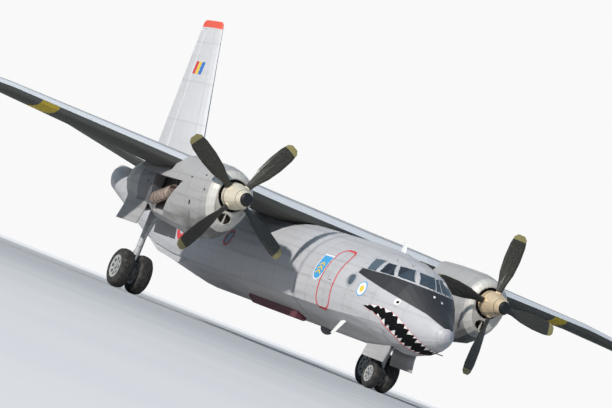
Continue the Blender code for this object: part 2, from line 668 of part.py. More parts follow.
# name, rows of (x, height, leading edge, chord), thickness share
AERIALS = (
    ("roof_antenna", ((0, 3.38, 3.76, 0.30), (0, 3.62, 3.84, 0.22), (0, 3.74, 3.93, 0.12)), 0.09),
    ("belly_antenna", ((-0.99, 1.42, 3.40, 0.28), (-1.05, 0.93, 3.80, 0.16)), 0.10),
)
for name, rows, thickness in AERIALS:
    blade(name, rows, thickness, "white_paint")
DOME_STATION, DOME_RADIUS, DOME_DROP = 6.30, 0.175, 0.16
dome_bm = bmesh.new()
bmesh.ops.create_uvsphere(dome_bm, u_segments=20, v_segments=12, radius=DOME_RADIUS)
dome_place = Matrix.Translation(at(0, DOME_STATION, BODY[10][4]))
dome_shape = dome_place @ Matrix.Diagonal((1, 1, DOME_DROP / DOME_RADIUS, 1))
bmesh.ops.transform(dome_bm, matrix=dome_shape, verts=dome_bm.verts)
belly_dome = add_object("belly_dome", dome_bm, "dark_paint")
apply_boolean(belly_dome, body_solid)
# long box: outline as (station, height), between two distances from the centreline
BOX_OUTLINE = ((6.70, 1.25), (6.70, 1.00), (6.82, 0.97), (9.45, 0.97), (9.85, 1.10), (9.85, 1.25))
BOX_SIDES = (-0.76, -0.46)
belly_box = loft("belly_box", [[at(x, s, z) for s, z in BOX_OUTLINE] for x in BOX_SIDES], "red_paint")
apply_boolean(belly_box, body_solid)

# Nacelles: an oval ring from a table row
def oval_ring(row, inset=0.0, x=ENGINE_X, steps=24):
    station, half, middle, top, bottom = row
    ring = []
    for i in range(steps):
        angle = 2 * math.pi * i / steps
        reach = top - middle if math.cos(angle) >= 0 else middle - bottom
        ring.append(at(
            x + (half - inset) * math.sin(angle), station, middle + (reach - inset) * math.cos(angle)
        ))
    return ring


def propeller(name, side, phase):
    """Hub, spinner, shaft and four blades, joined as one body that turns about Y."""
    x = side * ENGINE_X
    # station, radius of the turned spinner and shaft
    spinner = (
        (5.06, 0.06), (5.07, 0.125), (5.10, 0.165), (5.25, 0.215), (5.45, 0.272), (5.65, 0.32),
        (5.80, SPINNER_RADIUS), (5.93, SPINNER_RADIUS), (5.9305, SHAFT_RADIUS), (SHAFT_END, SHAFT_RADIUS),
    )
    rings = []
    for station, radius in spinner:
        rings.append([
            at(x + radius * math.cos(a), station, SHAFT_Z + radius * math.sin(a))
            for a in [2 * math.pi * i / 20 for i in range(20)]
        ])
    body = loft(name, rings, "bare_metal")
    # share of the radius, chord, thickness, pitch from the plane of rotation in degrees
    sections = (
        (0.13, 0.15, 0.14, 50), (0.30, 0.24, 0.08, 42), (0.45, 0.38, 0.045, 33),
        (0.65, 0.44, 0.034, 26), (0.85, 0.42, 0.024, 21), (0.96, 0.34, 0.018, 19), (1.0, 0.18, 0.012, 18),
    )
    for number in range(BLADE_COUNT):
        angle = phase + number * math.pi / 2
        out = Vector((math.cos(angle), 0, math.sin(angle)))
        across = Vector((-math.sin(angle), 0, math.cos(angle)))
        rings = []
        for share, chord, thick, pitch in sections:
            centre = at(x, PROPELLER_STATION, SHAFT_Z) + out * (share * PROPELLER_RADIUS)
            turn = math.radians(pitch)
            along = across * math.cos(turn) + Vector((0, 1, 0)) * math.sin(turn)
            face = out.cross(along)
            rings.append([
                centre + along * (chord / 2 * math.cos(b)) + face * (thick / 2 * math.sin(b))
                for b in [2 * math.pi * i / 8 for i in range(8)]
            ])
        apply_boolean(body, loft(f"{name}_blade_{number}", rings), "UNION")
    return body


for side_name, side, phase in (("left", 1, LEFT_PHASE), ("right", -1, RIGHT_PHASE)):
    x = side * ENGINE_X
    cowl = sleeve(
        f"nacelle_front_{side_name}",
        [oval_ring(row, 0.0, x) for row in COWL],
        [oval_ring(row, COWL_WALL, x) for row in COWL],
        "grey_paint",
    )
    # Lip that closes the front of the cowl round the spinner, with the oil cooler's intake below
    lip_rows = [(LIP_START, *COWL[0][1:]), COWL[1], COWL[2]]
    apply_boolean(cowl, loft(f"lip_{side_name}", [oval_ring(row, LIP_INSET, x) for row in lip_rows]), "UNION")
    cut_front, cut_rear = INTAKE_CUT
    lip_hole = rod(
        f"lip_hole_{side_name}", at(x, cut_front, SHAFT_Z), at(x, cut_rear, SHAFT_Z), LIP_HOLE, steps=24
    )
    apply_boolean(cowl, lip_hole)
    chin = rod(f"chin_hole_{side_name}", at(x, cut_front, 0), at(x, cut_rear, 0), CHIN_HALF)
    chin.data.transform(Matrix.Diagonal((1, 1, CHIN_RISE / CHIN_HALF, 1)))
    chin.location = (0, 0, CHIN_Z)
    apply_boolean(cowl, chin)
    strut_rise = CHIN_RISE + CHIN_STRUT_ROOT
    strut = box(
        f"chin_strut_{side_name}",
        at(x - CHIN_STRUT_HALF, CHIN_STRUT_START, CHIN_Z - strut_rise),
        at(x + CHIN_STRUT_HALF, CHIN_STRUT_END, CHIN_Z + strut_rise),
    )
    apply_boolean(cowl, strut, "UNION")
    apply_boolean(cowl, wing_solid)

    rear = loft(f"nacelle_rear_{side_name}", [oval_ring(row, 0.0, x) for row in REAR_NACELLE], "grey_paint")
    apply_boolean(rear, wing_solid)
    hollow_rows = [row_at(REAR_NACELLE, station) for station in (BAY_START, *BAY_HOLLOW)]
    hollow = loft(f"bay_hollow_{side_name}", [oval_ring(row, BAY_WALL, x) for row in hollow_rows])
    roof_low, roof_high = at(x - 1, BAY_START - 1, BAY_ROOF), at(x + 1, NACELLE_END + 1, BAY_ROOF + 1)
    apply_boolean(hollow, box(f"bay_top_{side_name}", roof_low, roof_high))
    apply_boolean(rear, hollow)
    bay = box(
        f"gear_bay_{side_name}",
        at(x - BAY_HALF, BAY_START, BAY_LOW), at(x + BAY_HALF, BAY_END, BAY_ROOF - BAY_TOP_MARGIN),
    )
    apply_boolean(rear, bay)

    # Slanted gap on the outer side, where the exhaust pipe comes out and points aft and down
    recess = loft(f"exhaust_recess_{side_name}", [
        [at(x + side * out, s, z) for s, z in EXHAUST_GAP] for out in (EXHAUST_WALL_X, 1.0)
    ])
    apply_boolean(cowl, recess)
    apply_boolean(rear, recess)
    pipe_x = x + side * (EXHAUST_WALL_X + EXHAUST_RADIUS + SEAM)
    start, end = at(pipe_x, *EXHAUST_START), at(pipe_x, *EXHAUST_END)
    pipe = rod(f"exhaust_pipe_{side_name}", start, end, EXHAUST_RADIUS, "dark_metal")
    run = end - start
    apply_boolean(pipe, rod(f"exhaust_bore_{side_name}", start + run * 0.2, end + run * 0.1, EXHAUST_BORE))
    width, length, height = ENGINE_SIZE
    box(
        f"engine_block_{side_name}",
        at(x - width / 2, COWL_SEAM - SEAM - length, ENGINE_Z - height / 2),
        at(x + width / 2, COWL_SEAM - SEAM, ENGINE_Z + height / 2),
        "dark_metal",
    )
    turning = propeller(f"propeller_{side_name}", side, phase)
    move_origin(turning, at(x, PROPELLER_STATION, SHAFT_Z))

# The right engine's tail also holds the auxiliary jet's outlet
jet_start = at(-ENGINE_X, NACELLE_END + SEAM, JET_Z)
jet_run = Vector((0, JET_LENGTH, 0))
jet_nozzle = rod(
    "jet_nozzle", jet_start, jet_start + jet_run, JET_OUTER, "dark_metal", end_radius=JET_OUTER * JET_TAPER
)
jet_bore = rod("jet_bore", jet_start + jet_run * 0.2, jet_start + jet_run * 1.5, JET_INNER)
apply_boolean(jet_nozzle, jet_bore)

# Tail surfaces
def fin_ring(z, leading, outline):
    return [at(u, leading + a, z) for a, u in outline]


# height, leading edge, chord, thickness share
FIN = (
    (3.30, 15.60, 6.20, 0.045),
    (3.75, 16.60, 5.15, 0.055),
    (4.35, 17.90, 3.80, 0.08),
    (4.90, 18.42, 3.27, 0.10),
    (8.30, 20.20, 1.60, 0.09),
    (8.50, 20.30, 1.50, 0.08),
    (8.575, 20.42, 1.25, 0.05),
)
RUDDER_SHARE = 0.70
FIN_WALL = 0.03
fin = loft("fin", [fin_ring(z, s, foil_outline(c, t, 0, 1)) for z, s, c, t in FIN], "grey_paint")
grown_fin = [fin_ring(z, s, foil_outline(c + SEAM, t, 0, 1, blunt=0.006 + 3 * SEAM)) for z, s, c, t in FIN]
fin_solid = loft("fin_solid", grown_fin)
apply_boolean(fin, body_solid)


RUDDER_LOW, RUDDER_HIGH = 3.98, 8.28


def rudder_section(z):
    """The fin's straight taper, carried down past its dorsal fillet."""
    low, high = FIN[3], FIN[4]
    share = (z - low[0]) / (high[0] - low[0])
    return [between(a, b, share) for a, b in zip(low[1:], high[1:])]


def rudder_front(z):
    leading, chord, thickness = rudder_section(z)
    return leading + chord * RUDDER_SHARE


rudder_gap = loft("rudder_gap", [
    [at(x, s, z) for x, s in ((-0.6, rudder_front(z)), (0.6, rudder_front(z)), (0.6, 25), (-0.6, 25))]
    for z in (RUDDER_LOW, RUDDER_HIGH)
])
apply_boolean(fin, rudder_gap)


def thinned(outline, wall):
    """An outline (aft, up) drawn in from both faces by a wall."""
    return [(a, math.copysign(max(abs(u) - wall, 0.004), u)) for a, u in outline]


# Space between the fin's two faces, open at its root
fin_space = []
for z in (3.0, 4.35, 4.90, 7.90):
    leading, chord, thickness = row_at(FIN, z)[1:]
    fin_space.append(fin_ring(z, leading, thinned(foil_outline(chord, thickness, 0.08, 0.62), FIN_WALL)))
apply_boolean(fin, loft("fin_space", fin_space))
rings, hinge = [], []
for z in (RUDDER_LOW + END_GAP, RUDDER_HIGH - END_GAP):
    leading, chord, thickness = rudder_section(z)
    nose = RUDDER_SHARE + (half_thickness(RUDDER_SHARE, thickness) * chord + HINGE_SLOT) / chord
    rings.append(fin_ring(z, leading, hinged_outline(chord, thickness, nose)))
    hinge.append(at(0, leading + nose * chord, z))
rudder = loft("rudder", rings, "grey_paint")
hinge_pins(fin, rudder, *hinge)


def tailplane_ring(side, x, outline, leading):
    z = TAILPLANE_Z + math.tan(TAILPLANE_DIHEDRAL) * x
    return [at(side * x, leading + a, z + u) for a, u in outline]


# Strakes under the chines beside the ramp: outline as (station, height)
STRAKE = (
    (13.55, 1.75), (13.25, 1.66), (13.16, 1.56), (13.30, 1.44), (13.90, 1.27), (15.70, 1.39), (16.60, 1.62),
    (16.60, 1.80),
)
STRAKE_X, STRAKE_TOE, STRAKE_THICKNESS = 1.29, 0.036, 0.035
# distance from the centreline, leading edge, chord, thickness share
TAILPLANE = ((SEAM, 20.33, 2.72, 0.12), (4.75, 22.28, 1.22, 0.11), (4.987, 22.48, 0.90, 0.06))
TAILPLANE_WALL = 0.025
ELEVATOR_SHARE = 0.68
ELEVATOR = (0.62, 4.70)


def tailplane_at(x):
    low, high = TAILPLANE[0], TAILPLANE[1]
    share = (x - low[0]) / (high[0] - low[0])
    return [between(a, b, share) for a, b in zip(low[1:], high[1:])]


for side_name, side in (("left", 1), ("right", -1)):
    plane = loft(
        f"tailplane_{side_name}",
        [tailplane_ring(side, x, foil_outline(c, t, 0, 1), s) for x, s, c, t in TAILPLANE],
        "grey_paint",
    )
    space = []
    for x in (-0.1, 4.4):
        leading, chord, thickness = tailplane_at(x)
        inside = thinned(foil_outline(chord, thickness, 0.08, 0.60), TAILPLANE_WALL)
        space.append(tailplane_ring(side, x, inside, leading))
    apply_boolean(plane, loft(f"tailplane_{side_name}_space", space))
    apply_boolean(plane, body_solid)
    apply_boolean(plane, fin_solid)
    outline = []
    for x, reach in ((ELEVATOR[0], 0), (ELEVATOR[1], 0), (ELEVATOR[1], 1), (ELEVATOR[0], 1)):
        leading, chord, thickness = tailplane_at(x)
        outline.append((side * x, leading + chord * ELEVATOR_SHARE + reach * 2.0))
    apply_boolean(plane, plan_prism(f"elevator_{side_name}_gap", outline, 2.5, 5.5))
    rings, hinge = [], []
    for x in (ELEVATOR[0] + END_GAP, ELEVATOR[1] - END_GAP):
        leading, chord, thickness = tailplane_at(x)
        nose = ELEVATOR_SHARE + (half_thickness(ELEVATOR_SHARE, thickness) * chord + HINGE_SLOT) / chord
        rings.append(tailplane_ring(side, x, hinged_outline(chord, thickness, nose), leading))
        hinge.append(tailplane_ring(side, x, [(nose * chord, 0)], leading)[0])
    elevator = loft(f"elevator_{side_name}", rings, "grey_paint")
    hinge_pins(plane, elevator, *hinge)
    strake_rings = []
    for offset in (0, STRAKE_THICKNESS):
        strake_rings.append([
            at(side * (STRAKE_X - offset - STRAKE_TOE * (s - STRAKE[2][0])), s, z) for s, z in STRAKE
        ])
    strake = loft(f"ventral_fin_{side_name}", strake_rings, "grey_paint")
    apply_boolean(strake, body_solid)

# Main gear: a leg with its brace, and an axle with twin wheels
def tyre_profile(radius, width, hub_radius, centre):
    half, crown = width / 2, radius * 0.97
    return [
        (centre - half * 0.75, hub_radius), (centre - half, radius * 0.70), (centre - half, radius * 0.84),
        (centre - half * 0.75, crown * 0.985), (centre - half * 0.35, radius), (centre + half * 0.35, radius),
        (centre + half * 0.75, crown * 0.985), (centre + half, radius * 0.84), (centre + half, radius * 0.70),
        (centre + half * 0.75, hub_radius),
    ]


def wheel_pair(name, radius, width, track, axle_radius, place):
    """Two tyres on their hubs, joined by the axle that turns with them."""
    reach = Vector((track + width / 2, 0, 0))
    axle = rod(name, place - reach, place + reach, axle_radius, "rubber", steps=WHEEL_STEPS)
    for side in (-1, 1):
        profile = tyre_profile(radius, width, axle_radius * 0.8, side * track)
        apply_boolean(axle, turned(f"{name}_tyre_{side}", profile, place), "UNION")
    move_origin(axle, place)
    return axle


AXLE_RADIUS, NOSE_AXLE_RADIUS, BORE_REACH = 0.06, 0.045, 0.2
LEG_RADIUS, LEG_CLEAR, BEARING_HALF, BEARING_RADIUS = 0.085, 0.05, 0.075, 0.105
# drag brace and the arms of the torque link: ends as (station, height), radius
LEG_RODS = (
    ("main_brace", (BAY_START + 0.065, 2.70), (MAIN_AXLE - 0.02, 1.35), 0.05),
    ("link_upper", (MAIN_AXLE + 0.05, 1.30), (MAIN_AXLE + 0.25, 1.00), 0.028),
    ("link_lower", (MAIN_AXLE + 0.25, 1.02), (MAIN_AXLE + 0.05, 0.62), 0.028),
)
# the brace's foot on the bay's front wall: half width, rear station, bottom and top
BRACE_FOOT = (0.10, BAY_START + 0.06, 2.60, 2.80)


def axle_bore(name, centre, radius):
    """A bore for an axle that has as many sides, wide enough for its corners as it turns."""
    reach = Vector((BORE_REACH, 0, 0))
    corner_radius = radius / math.cos(math.pi / WHEEL_STEPS) + SEAM
    return rod(name, centre - reach, centre + reach, corner_radius, steps=WHEEL_STEPS)


for side_name, side in (("left", 1), ("right", -1)):
    x = side * ENGINE_X
    centre = at(x, MAIN_AXLE, MAIN_RADIUS)
    wheel_pair(f"main_wheels_{side_name}", MAIN_RADIUS, MAIN_TYRE, MAIN_TRACK, AXLE_RADIUS, centre)
    leg_end = centre + Vector((0, 0, LEG_CLEAR))
    leg = rod(f"main_leg_{side_name}", at(x, MAIN_AXLE, BAY_ROOF - SEAM), leg_end, LEG_RADIUS, "bare_metal")
    half = Vector((BEARING_HALF, 0, 0))
    pieces = [rod(f"main_bearing_{side_name}", centre - half, centre + half, BEARING_RADIUS)]
    for rod_name, start, end, radius in LEG_RODS:
        pieces.append(rod(f"{rod_name}_{side_name}", at(x, *start), at(x, *end), radius))
    foot_half, foot_end, foot_low, foot_high = BRACE_FOOT
    foot_start = BAY_START + SEAM
    foot_corners = at(x - foot_half, foot_start, foot_low), at(x + foot_half, foot_end, foot_high)
    foot = box(f"brace_foot_{side_name}", *foot_corners)
    for piece in (*pieces, foot):
        apply_boolean(leg, piece, "UNION")
    apply_boolean(leg, axle_bore(f"main_bore_{side_name}", centre, AXLE_RADIUS))

# Nose gear: fixed leg, turning fork and twin wheels
NOSE_BAY_HALF, NOSE_BAY_START, NOSE_BAY_END, NOSE_BAY_LOW, NOSE_BAY_ROOF = 0.34, 1.95, 3.25, 0.5, 1.30
STEER_Z, NOSE_LEG_RADIUS, NOSE_FORK_RADIUS, NOSE_FORK_CLEAR = 0.86, 0.075, 0.055, 0.03
NOSE_BEARING_HALF, NOSE_BEARING_RADIUS = 0.065, 0.08
# the nose leg's brace: its ends as (station, height), and its radius
NOSE_BRACE_TOP, NOSE_BRACE_LOW, NOSE_BRACE_RADIUS = (2.20, 1.36), (NOSE_AXLE, 1.00), 0.04
bay_low = at(-NOSE_BAY_HALF, NOSE_BAY_START, NOSE_BAY_LOW)
nose_bay = box("nose_bay", bay_low, at(NOSE_BAY_HALF, NOSE_BAY_END, NOSE_BAY_ROOF))
apply_boolean(cockpit_belly, nose_bay)
centre = at(0, NOSE_AXLE, NOSE_RADIUS)
wheel_pair("nose_wheels", NOSE_RADIUS, NOSE_TYRE, NOSE_TRACK, NOSE_AXLE_RADIUS, centre)
leg_top, leg_low = at(0, NOSE_AXLE, FLOOR_TOP - FLOOR_THICKNESS - SEAM), at(0, NOSE_AXLE, STEER_Z + SEAM)
nose_leg = rod("nose_leg", leg_top, leg_low, NOSE_LEG_RADIUS, "bare_metal")
nose_brace = rod("nose_brace", at(0, *NOSE_BRACE_TOP), at(0, *NOSE_BRACE_LOW), NOSE_BRACE_RADIUS)
apply_boolean(nose_leg, nose_brace, "UNION")
fork_end = centre + Vector((0, 0, NOSE_FORK_CLEAR))
nose_fork = rod("nose_fork", at(0, NOSE_AXLE, STEER_Z), fork_end, NOSE_FORK_RADIUS, "bare_metal")
half = Vector((NOSE_BEARING_HALF, 0, 0))
apply_boolean(nose_fork, rod("nose_bearing", centre - half, centre + half, NOSE_BEARING_RADIUS), "UNION")
apply_boolean(nose_fork, axle_bore("nose_bore", centre, NOSE_AXLE_RADIUS))
move_origin(nose_fork, at(0, NOSE_AXLE, STEER_Z))

# Gear doors, hanging open from the edges of their bays: name, edge's distance from the bay's middle,
# the bay's middle, stations, height of the edge, depth below it, lean outwards
DOORS = (
    ("nose_door", NOSE_BAY_HALF + 0.02, 0.0, 2.02, 3.20, 1.02, 0.30, 0.05),
    ("main_door_outer", BAY_HALF + 0.03, ENGINE_X, 9.80, 11.26, 2.16, 0.42, 0.08),
    ("main_door_inner", -BAY_HALF - 0.03, ENGINE_X, 9.80, 11.26, 2.16, 0.42, -0.08),
)
DOOR_THICKNESS, DOOR_ROOT = 0.025, 0.5
for side_name, side in (("left", 1), ("right", -1)):
    solid_rows = [oval_ring(row, -SEAM, side * ENGINE_X) for row in REAR_NACELLE]
    nacelle_solid = loft(f"nacelle_solid_{side_name}", solid_rows)
    for name, edge, middle, start, end, high, depth, lean in DOORS:
        out = math.copysign(DOOR_THICKNESS, edge)
        section = (
            (edge, high + DOOR_ROOT), (edge + out, high + DOOR_ROOT), (edge + out, high),
            (edge + out + lean, high - depth), (edge + lean, high - depth), (edge, high),
        )
        door = loft(
            f"{name}_{side_name}",
            [[at(side * (middle + x), station, z) for x, z in section] for station in (start, end)],
            "grey_paint",
        )
        apply_boolean(door, nacelle_solid if middle else body_solid)
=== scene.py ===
"""Looks for a twin-propeller transport plane parked on its gear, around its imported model."""
import math

import bmesh
import bpy
from mathutils import Matrix, Vector
from mathutils.bvhtree import BVHTree


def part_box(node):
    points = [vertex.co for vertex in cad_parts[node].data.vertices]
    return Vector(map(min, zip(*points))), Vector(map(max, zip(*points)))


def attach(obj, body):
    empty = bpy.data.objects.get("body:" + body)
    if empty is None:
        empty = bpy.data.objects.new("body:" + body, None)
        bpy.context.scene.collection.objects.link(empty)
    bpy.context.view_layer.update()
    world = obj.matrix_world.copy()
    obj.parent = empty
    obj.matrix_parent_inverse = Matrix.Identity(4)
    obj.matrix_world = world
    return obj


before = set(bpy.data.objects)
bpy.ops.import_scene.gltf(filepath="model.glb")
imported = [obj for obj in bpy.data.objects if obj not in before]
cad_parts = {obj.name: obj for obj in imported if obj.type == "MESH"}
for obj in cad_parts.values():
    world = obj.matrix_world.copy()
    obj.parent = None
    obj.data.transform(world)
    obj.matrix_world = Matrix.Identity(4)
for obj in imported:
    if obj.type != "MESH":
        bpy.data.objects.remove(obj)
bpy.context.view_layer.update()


# Studio: a pale floor that the wheels stand on, a pale sky and a broad warm key lamp from the right side
# and slightly ahead, with a long lens at floor height, rolled as the photograph is.
class Value:
    """A socket of a node tree, so that shader maths reads as plain expressions."""

    def __init__(self, finish, socket):
        self.finish, self.socket = finish, socket

    def math(self, operation, other=None, reflected=False):
        pair = (other, self) if reflected else (self, other)
        sockets = {i: part for i, part in enumerate(pair) if part is not None}
        return self.finish.node("ShaderNodeMath", {"operation": operation}, sockets)

    def __add__(self, other):
        return self.math("ADD", other)

    def __sub__(self, other):
        return self.math("SUBTRACT", other)

    def __rsub__(self, other):
        return self.math("SUBTRACT", other, True)

    def __mul__(self, other):
        return self.math("MULTIPLY", other)

    def __truediv__(self, other):
        return self.math("DIVIDE", other)

    def __abs__(self):
        return self.math("ABSOLUTE")

    __radd__, __rmul__ = __add__, __mul__

    def ramp(self, low, high):
        """0 below low, 1 above high, or the reverse where low is the greater."""
        flip = low > high
        sockets = {"Value": self, "From Min": min(low, high), "From Max": max(low, high)}
        rise = self.finish.node("ShaderNodeMapRange", {"interpolation_type": "SMOOTHSTEP"}, sockets)
        return 1 - rise if flip else rise

    def within(self, low, high, soft=0.004):
        return self.ramp(low - soft, low + soft) * self.ramp(high + soft, high - soft)

    def stripes(self, spacing, width, start=0.0):
        """Thin lines at every spacing along this value."""
        share = ((self - start) / spacing).math("FRACT")
        return abs(share - 0.5).ramp(0.5 - width / spacing, 0.5 - 0.3 * width / spacing)


class Finish:
    """A material whose detail comes from its nodes."""

    def __init__(self, name, roughness=0.5, metallic=0.0, coat=0.0, coat_roughness=0.1):
        self.material = bpy.data.materials.new(name)
        self.material.use_nodes = True
        self.tree = self.material.node_tree
        self.shader = self.tree.nodes["Principled BSDF"]
        self.shader.inputs["Roughness"].default_value = roughness
        self.shader.inputs["Metallic"].default_value = metallic
        self.shader.inputs["Coat Weight"].default_value = coat
        self.shader.inputs["Coat Roughness"].default_value = coat_roughness

    def node(self, kind, settings=None, sockets=None, output=0):
        made = self.tree.nodes.new(kind)
        for name, value in (settings or {}).items():
            setattr(made, name, value)
        for name, value in (sockets or {}).items():
            if isinstance(value, Value):
                self.tree.links.new(value.socket, made.inputs[name])
            else:
                made.inputs[name].default_value = value
        return Value(self, made.outputs[output])

    def place(self):
        """The point on the piece at rest, whole and as its x, y and z."""
        point = self.node("ShaderNodeTexCoord", output=3)
        parts = self.tree.nodes.new("ShaderNodeSeparateXYZ")
        self.tree.links.new(point.socket, parts.inputs[0])
        return point, *(Value(self, socket) for socket in parts.outputs)

    def noise(self, point, scale, detail=4.0, stretch=(1, 1, 1)):
        moved = self.node("ShaderNodeVectorMath", {"operation": "MULTIPLY"}, {0: point, 1: stretch})
        return self.node("ShaderNodeTexNoise", None, {"Vector": moved, "Scale": scale, "Detail": detail})

    def mix(self, share, first, second):
        sockets = {0: share}
        for index, colour in ((6, first), (7, second)):
            sockets[index] = colour if isinstance(colour, Value) else (*colour, 1.0)
        return self.node("ShaderNodeMix", {"data_type": "RGBA"}, sockets, 2)

    def feed(self, name, value):
        self.tree.links.new(value.socket, self.shader.inputs[name])

    def bump(self, height, distance, strength=1.0):
        normal = self.node("ShaderNodeBump", None, {"Height": height, "Distance": distance, "Strength": strength})
        self.feed("Normal", normal)

    def cover(self, *names):
        """Put this finish in the material slots of CAD nodes."""
        for name in names:
            for material_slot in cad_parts[name].material_slots:
                material_slot.material = self.material


def piece_of(name, bm, finish, body, smooth=True):
    """A piece from its points and faces, riding on a body."""
    mesh = bpy.data.meshes.new(name)
    bm.to_mesh(mesh)
    bm.free()
    piece = bpy.data.objects.new(name, mesh)
    bpy.context.scene.collection.objects.link(piece)
    if smooth:
        mesh.shade_smooth()
        mesh.set_sharp_from_angle(angle=math.radians(35))
    mesh.materials.append(finish.material)
    if body:
        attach(piece, body)
    return piece


# the floor is pale, and glows from NEAR to FAR metres away until it meets the backdrop without an edge
FLOOR_RADIUS, GLOW_NEAR, GLOW_FAR, BACKDROP_GLOW = 400.0, 30.0, 90.0, 0.93
floor_finish = Finish("studio_floor", roughness=0.9)
floor_point, floor_x, floor_y, _ = floor_finish.place()
floor_finish.feed("Base Color", floor_finish.mix(
    floor_finish.noise(floor_point, 0.35, 6.0).ramp(0.3, 0.7), (0.52, 0.52, 0.53), (0.56, 0.56, 0.56),
))
away = (floor_x * floor_x + floor_y * floor_y).math("SQRT").ramp(GLOW_NEAR, GLOW_FAR)
floor_finish.feed("Emission Color", floor_finish.mix(away, (0, 0, 0), (0.34, 0.34, 0.35)))
floor_finish.shader.inputs["Emission Strength"].default_value = 1.0
floor_bm = bmesh.new()
bmesh.ops.create_circle(floor_bm, cap_ends=True, segments=96, radius=FLOOR_RADIUS)
floor = piece_of("floor", floor_bm, floor_finish, None, smooth=False)

world = bpy.data.worlds.new("sky")
world.use_nodes = True
world.node_tree.nodes["Background"].inputs["Color"].default_value = (0.58, 0.78, 1.0, 1.0)
world.node_tree.nodes["Background"].inputs["Strength"].default_value = 0.34
bpy.context.scene.world = world
bpy.context.scene.view_settings.view_transform = "Standard"

# name, strength, apparent size in degrees, colour, where the light comes from
LAMPS = (
    ("key", 3.7, 2.0, (1.0, 0.965, 0.92), (-0.86, -0.36, 0.46)),
    ("fill", 0.16, 60.0, (0.80, 0.88, 1.0), (0.75, -0.55, 0.65)),
)
for lamp_name, strength, size, colour, source in LAMPS:
    lamp = bpy.data.lights.new(lamp_name, "SUN")
    lamp.energy, lamp.angle, lamp.color = strength, math.radians(size), colour
    holder = bpy.data.objects.new(lamp_name, lamp)
    holder.matrix_world = Vector(source).to_track_quat("Z", "Y").to_matrix().to_4x4()
    bpy.context.scene.collection.objects.link(holder)

VIEW_TURN, VIEW_RISE, VIEW_ROLL = math.radians(-25.25), math.radians(2.80), math.radians(21.65)
VIEW_DISTANCE, LENS = 74.7, 166.25
AIM = Vector((-0.476, -2.881, 3.897))
aim_line = Vector((
    math.sin(VIEW_TURN) * math.cos(VIEW_RISE), -math.cos(VIEW_TURN) * math.cos(VIEW_RISE), -math.sin(VIEW_RISE),
))
camera_data = bpy.data.cameras.new("camera")
camera_data.lens = LENS
camera_data.clip_end = 2000.0
camera = bpy.data.objects.new("camera", camera_data)
bpy.context.scene.collection.objects.link(camera)
turn = (-aim_line).to_track_quat("-Z", "Y").to_matrix().to_4x4()
camera.matrix_world = Matrix.Translation(AIM + aim_line * VIEW_DISTANCE) @ turn @ Matrix.Rotation(VIEW_ROLL, 4, "Z")
bpy.context.scene.camera = camera

# a glowing white backdrop far behind the plane, square to the view
BACKDROP_DISTANCE, BACKDROP_WIDTH = 330.0, 260.0
backdrop_finish = Finish("studio_backdrop", roughness=1.0)
backdrop_finish.shader.inputs["Base Color"].default_value = (0, 0, 0, 1)
backdrop_finish.shader.inputs["Emission Color"].default_value = (BACKDROP_GLOW, BACKDROP_GLOW, BACKDROP_GLOW, 1)
backdrop_finish.shader.inputs["Emission Strength"].default_value = 1.0
backdrop_bm = bmesh.new()
bmesh.ops.create_grid(backdrop_bm, x_segments=2, y_segments=2, size=BACKDROP_WIDTH / 2)
bmesh.ops.transform(backdrop_bm, matrix=Matrix.Translation(AIM - aim_line * BACKDROP_DISTANCE) @ turn, verts=backdrop_bm.verts)
backdrop = piece_of("backdrop", backdrop_bm, backdrop_finish, None, smooth=False)


# Fuselage: riveted aluminium skin in satin light grey, joined at its frames and stringers, with the odd
# panel of another tone, thin dirt along the seams and streaks drawn aft and down by air and rain.
DATUM_Y = -12.1
FRAME_SPACING, STRINGER_SPACING, SEAM_WIDTH = 1.02, 0.62, 0.008
GREY, GREY_DARK, DIRT = (0.50, 0.50, 0.52), (0.43, 0.435, 0.46), (0.16, 0.15, 0.13)


def at(x, station, z):
    return Vector((x, DATUM_Y + station, z))


def panelled(finish, along, across, colour, worn=1.0, frames=FRAME_SPACING, stringers=STRINGER_SPACING, dull=0.44):
    """Seams, rivets, panel tones and dirt on painted sheet; returns the colour and the seams."""
    point, x, y, z = finish.place()
    seams = along.stripes(frames, SEAM_WIDTH, 0.35).math("MAXIMUM", across.stripes(stringers, SEAM_WIDTH, 0.2))
    cell = finish.node("ShaderNodeCombineXYZ", None, {
        0: ((along - 0.35) / frames).math("FLOOR"), 1: ((across - 0.2) / stringers).math("FLOOR"),
    })
    tone = finish.node("ShaderNodeTexWhiteNoise", {"noise_dimensions": "3D"}, {"Vector": cell})
    cloud = finish.noise(point, 0.9, 5.0, (1, 0.5, 1))
    streaks = finish.noise(point, 3.0, 5.0, (1.2, 0.12, 2.2)).ramp(0.52, 0.8)
    painted = finish.mix(tone * 0.22 + cloud * 0.45, colour, tuple(0.80 * part for part in colour))
    painted = finish.mix(streaks * (0.28 * worn), painted, DIRT)
    near_along = along.stripes(frames, 0.05, 0.35)
    near_across = across.stripes(stringers, 0.05, 0.2)
    rivets = near_along * across.stripes(0.06, 0.022) + near_across * along.stripes(0.06, 0.022)
    faded = finish.noise(point, 1.7, 3.0).ramp(0.35, 0.65) * 0.22 + 0.04
    painted = finish.mix(seams * faded, painted, DIRT)
    painted = finish.mix(rivets.math("MINIMUM", 1.0) * 0.16, painted, DIRT)
    grime = near_along.math("MAXIMUM", near_across) * finish.noise(point, 7.0, 4.0).ramp(0.45, 0.75)
    painted = finish.mix(grime * (0.20 * worn), painted, DIRT)
    finish.bump(rivets * 0.5 - seams, 0.004, 0.5)
    finish.feed("Roughness", dull + finish.noise(point, 5.0, 3.0) * 0.2 + streaks * 0.1)
    return painted, seams


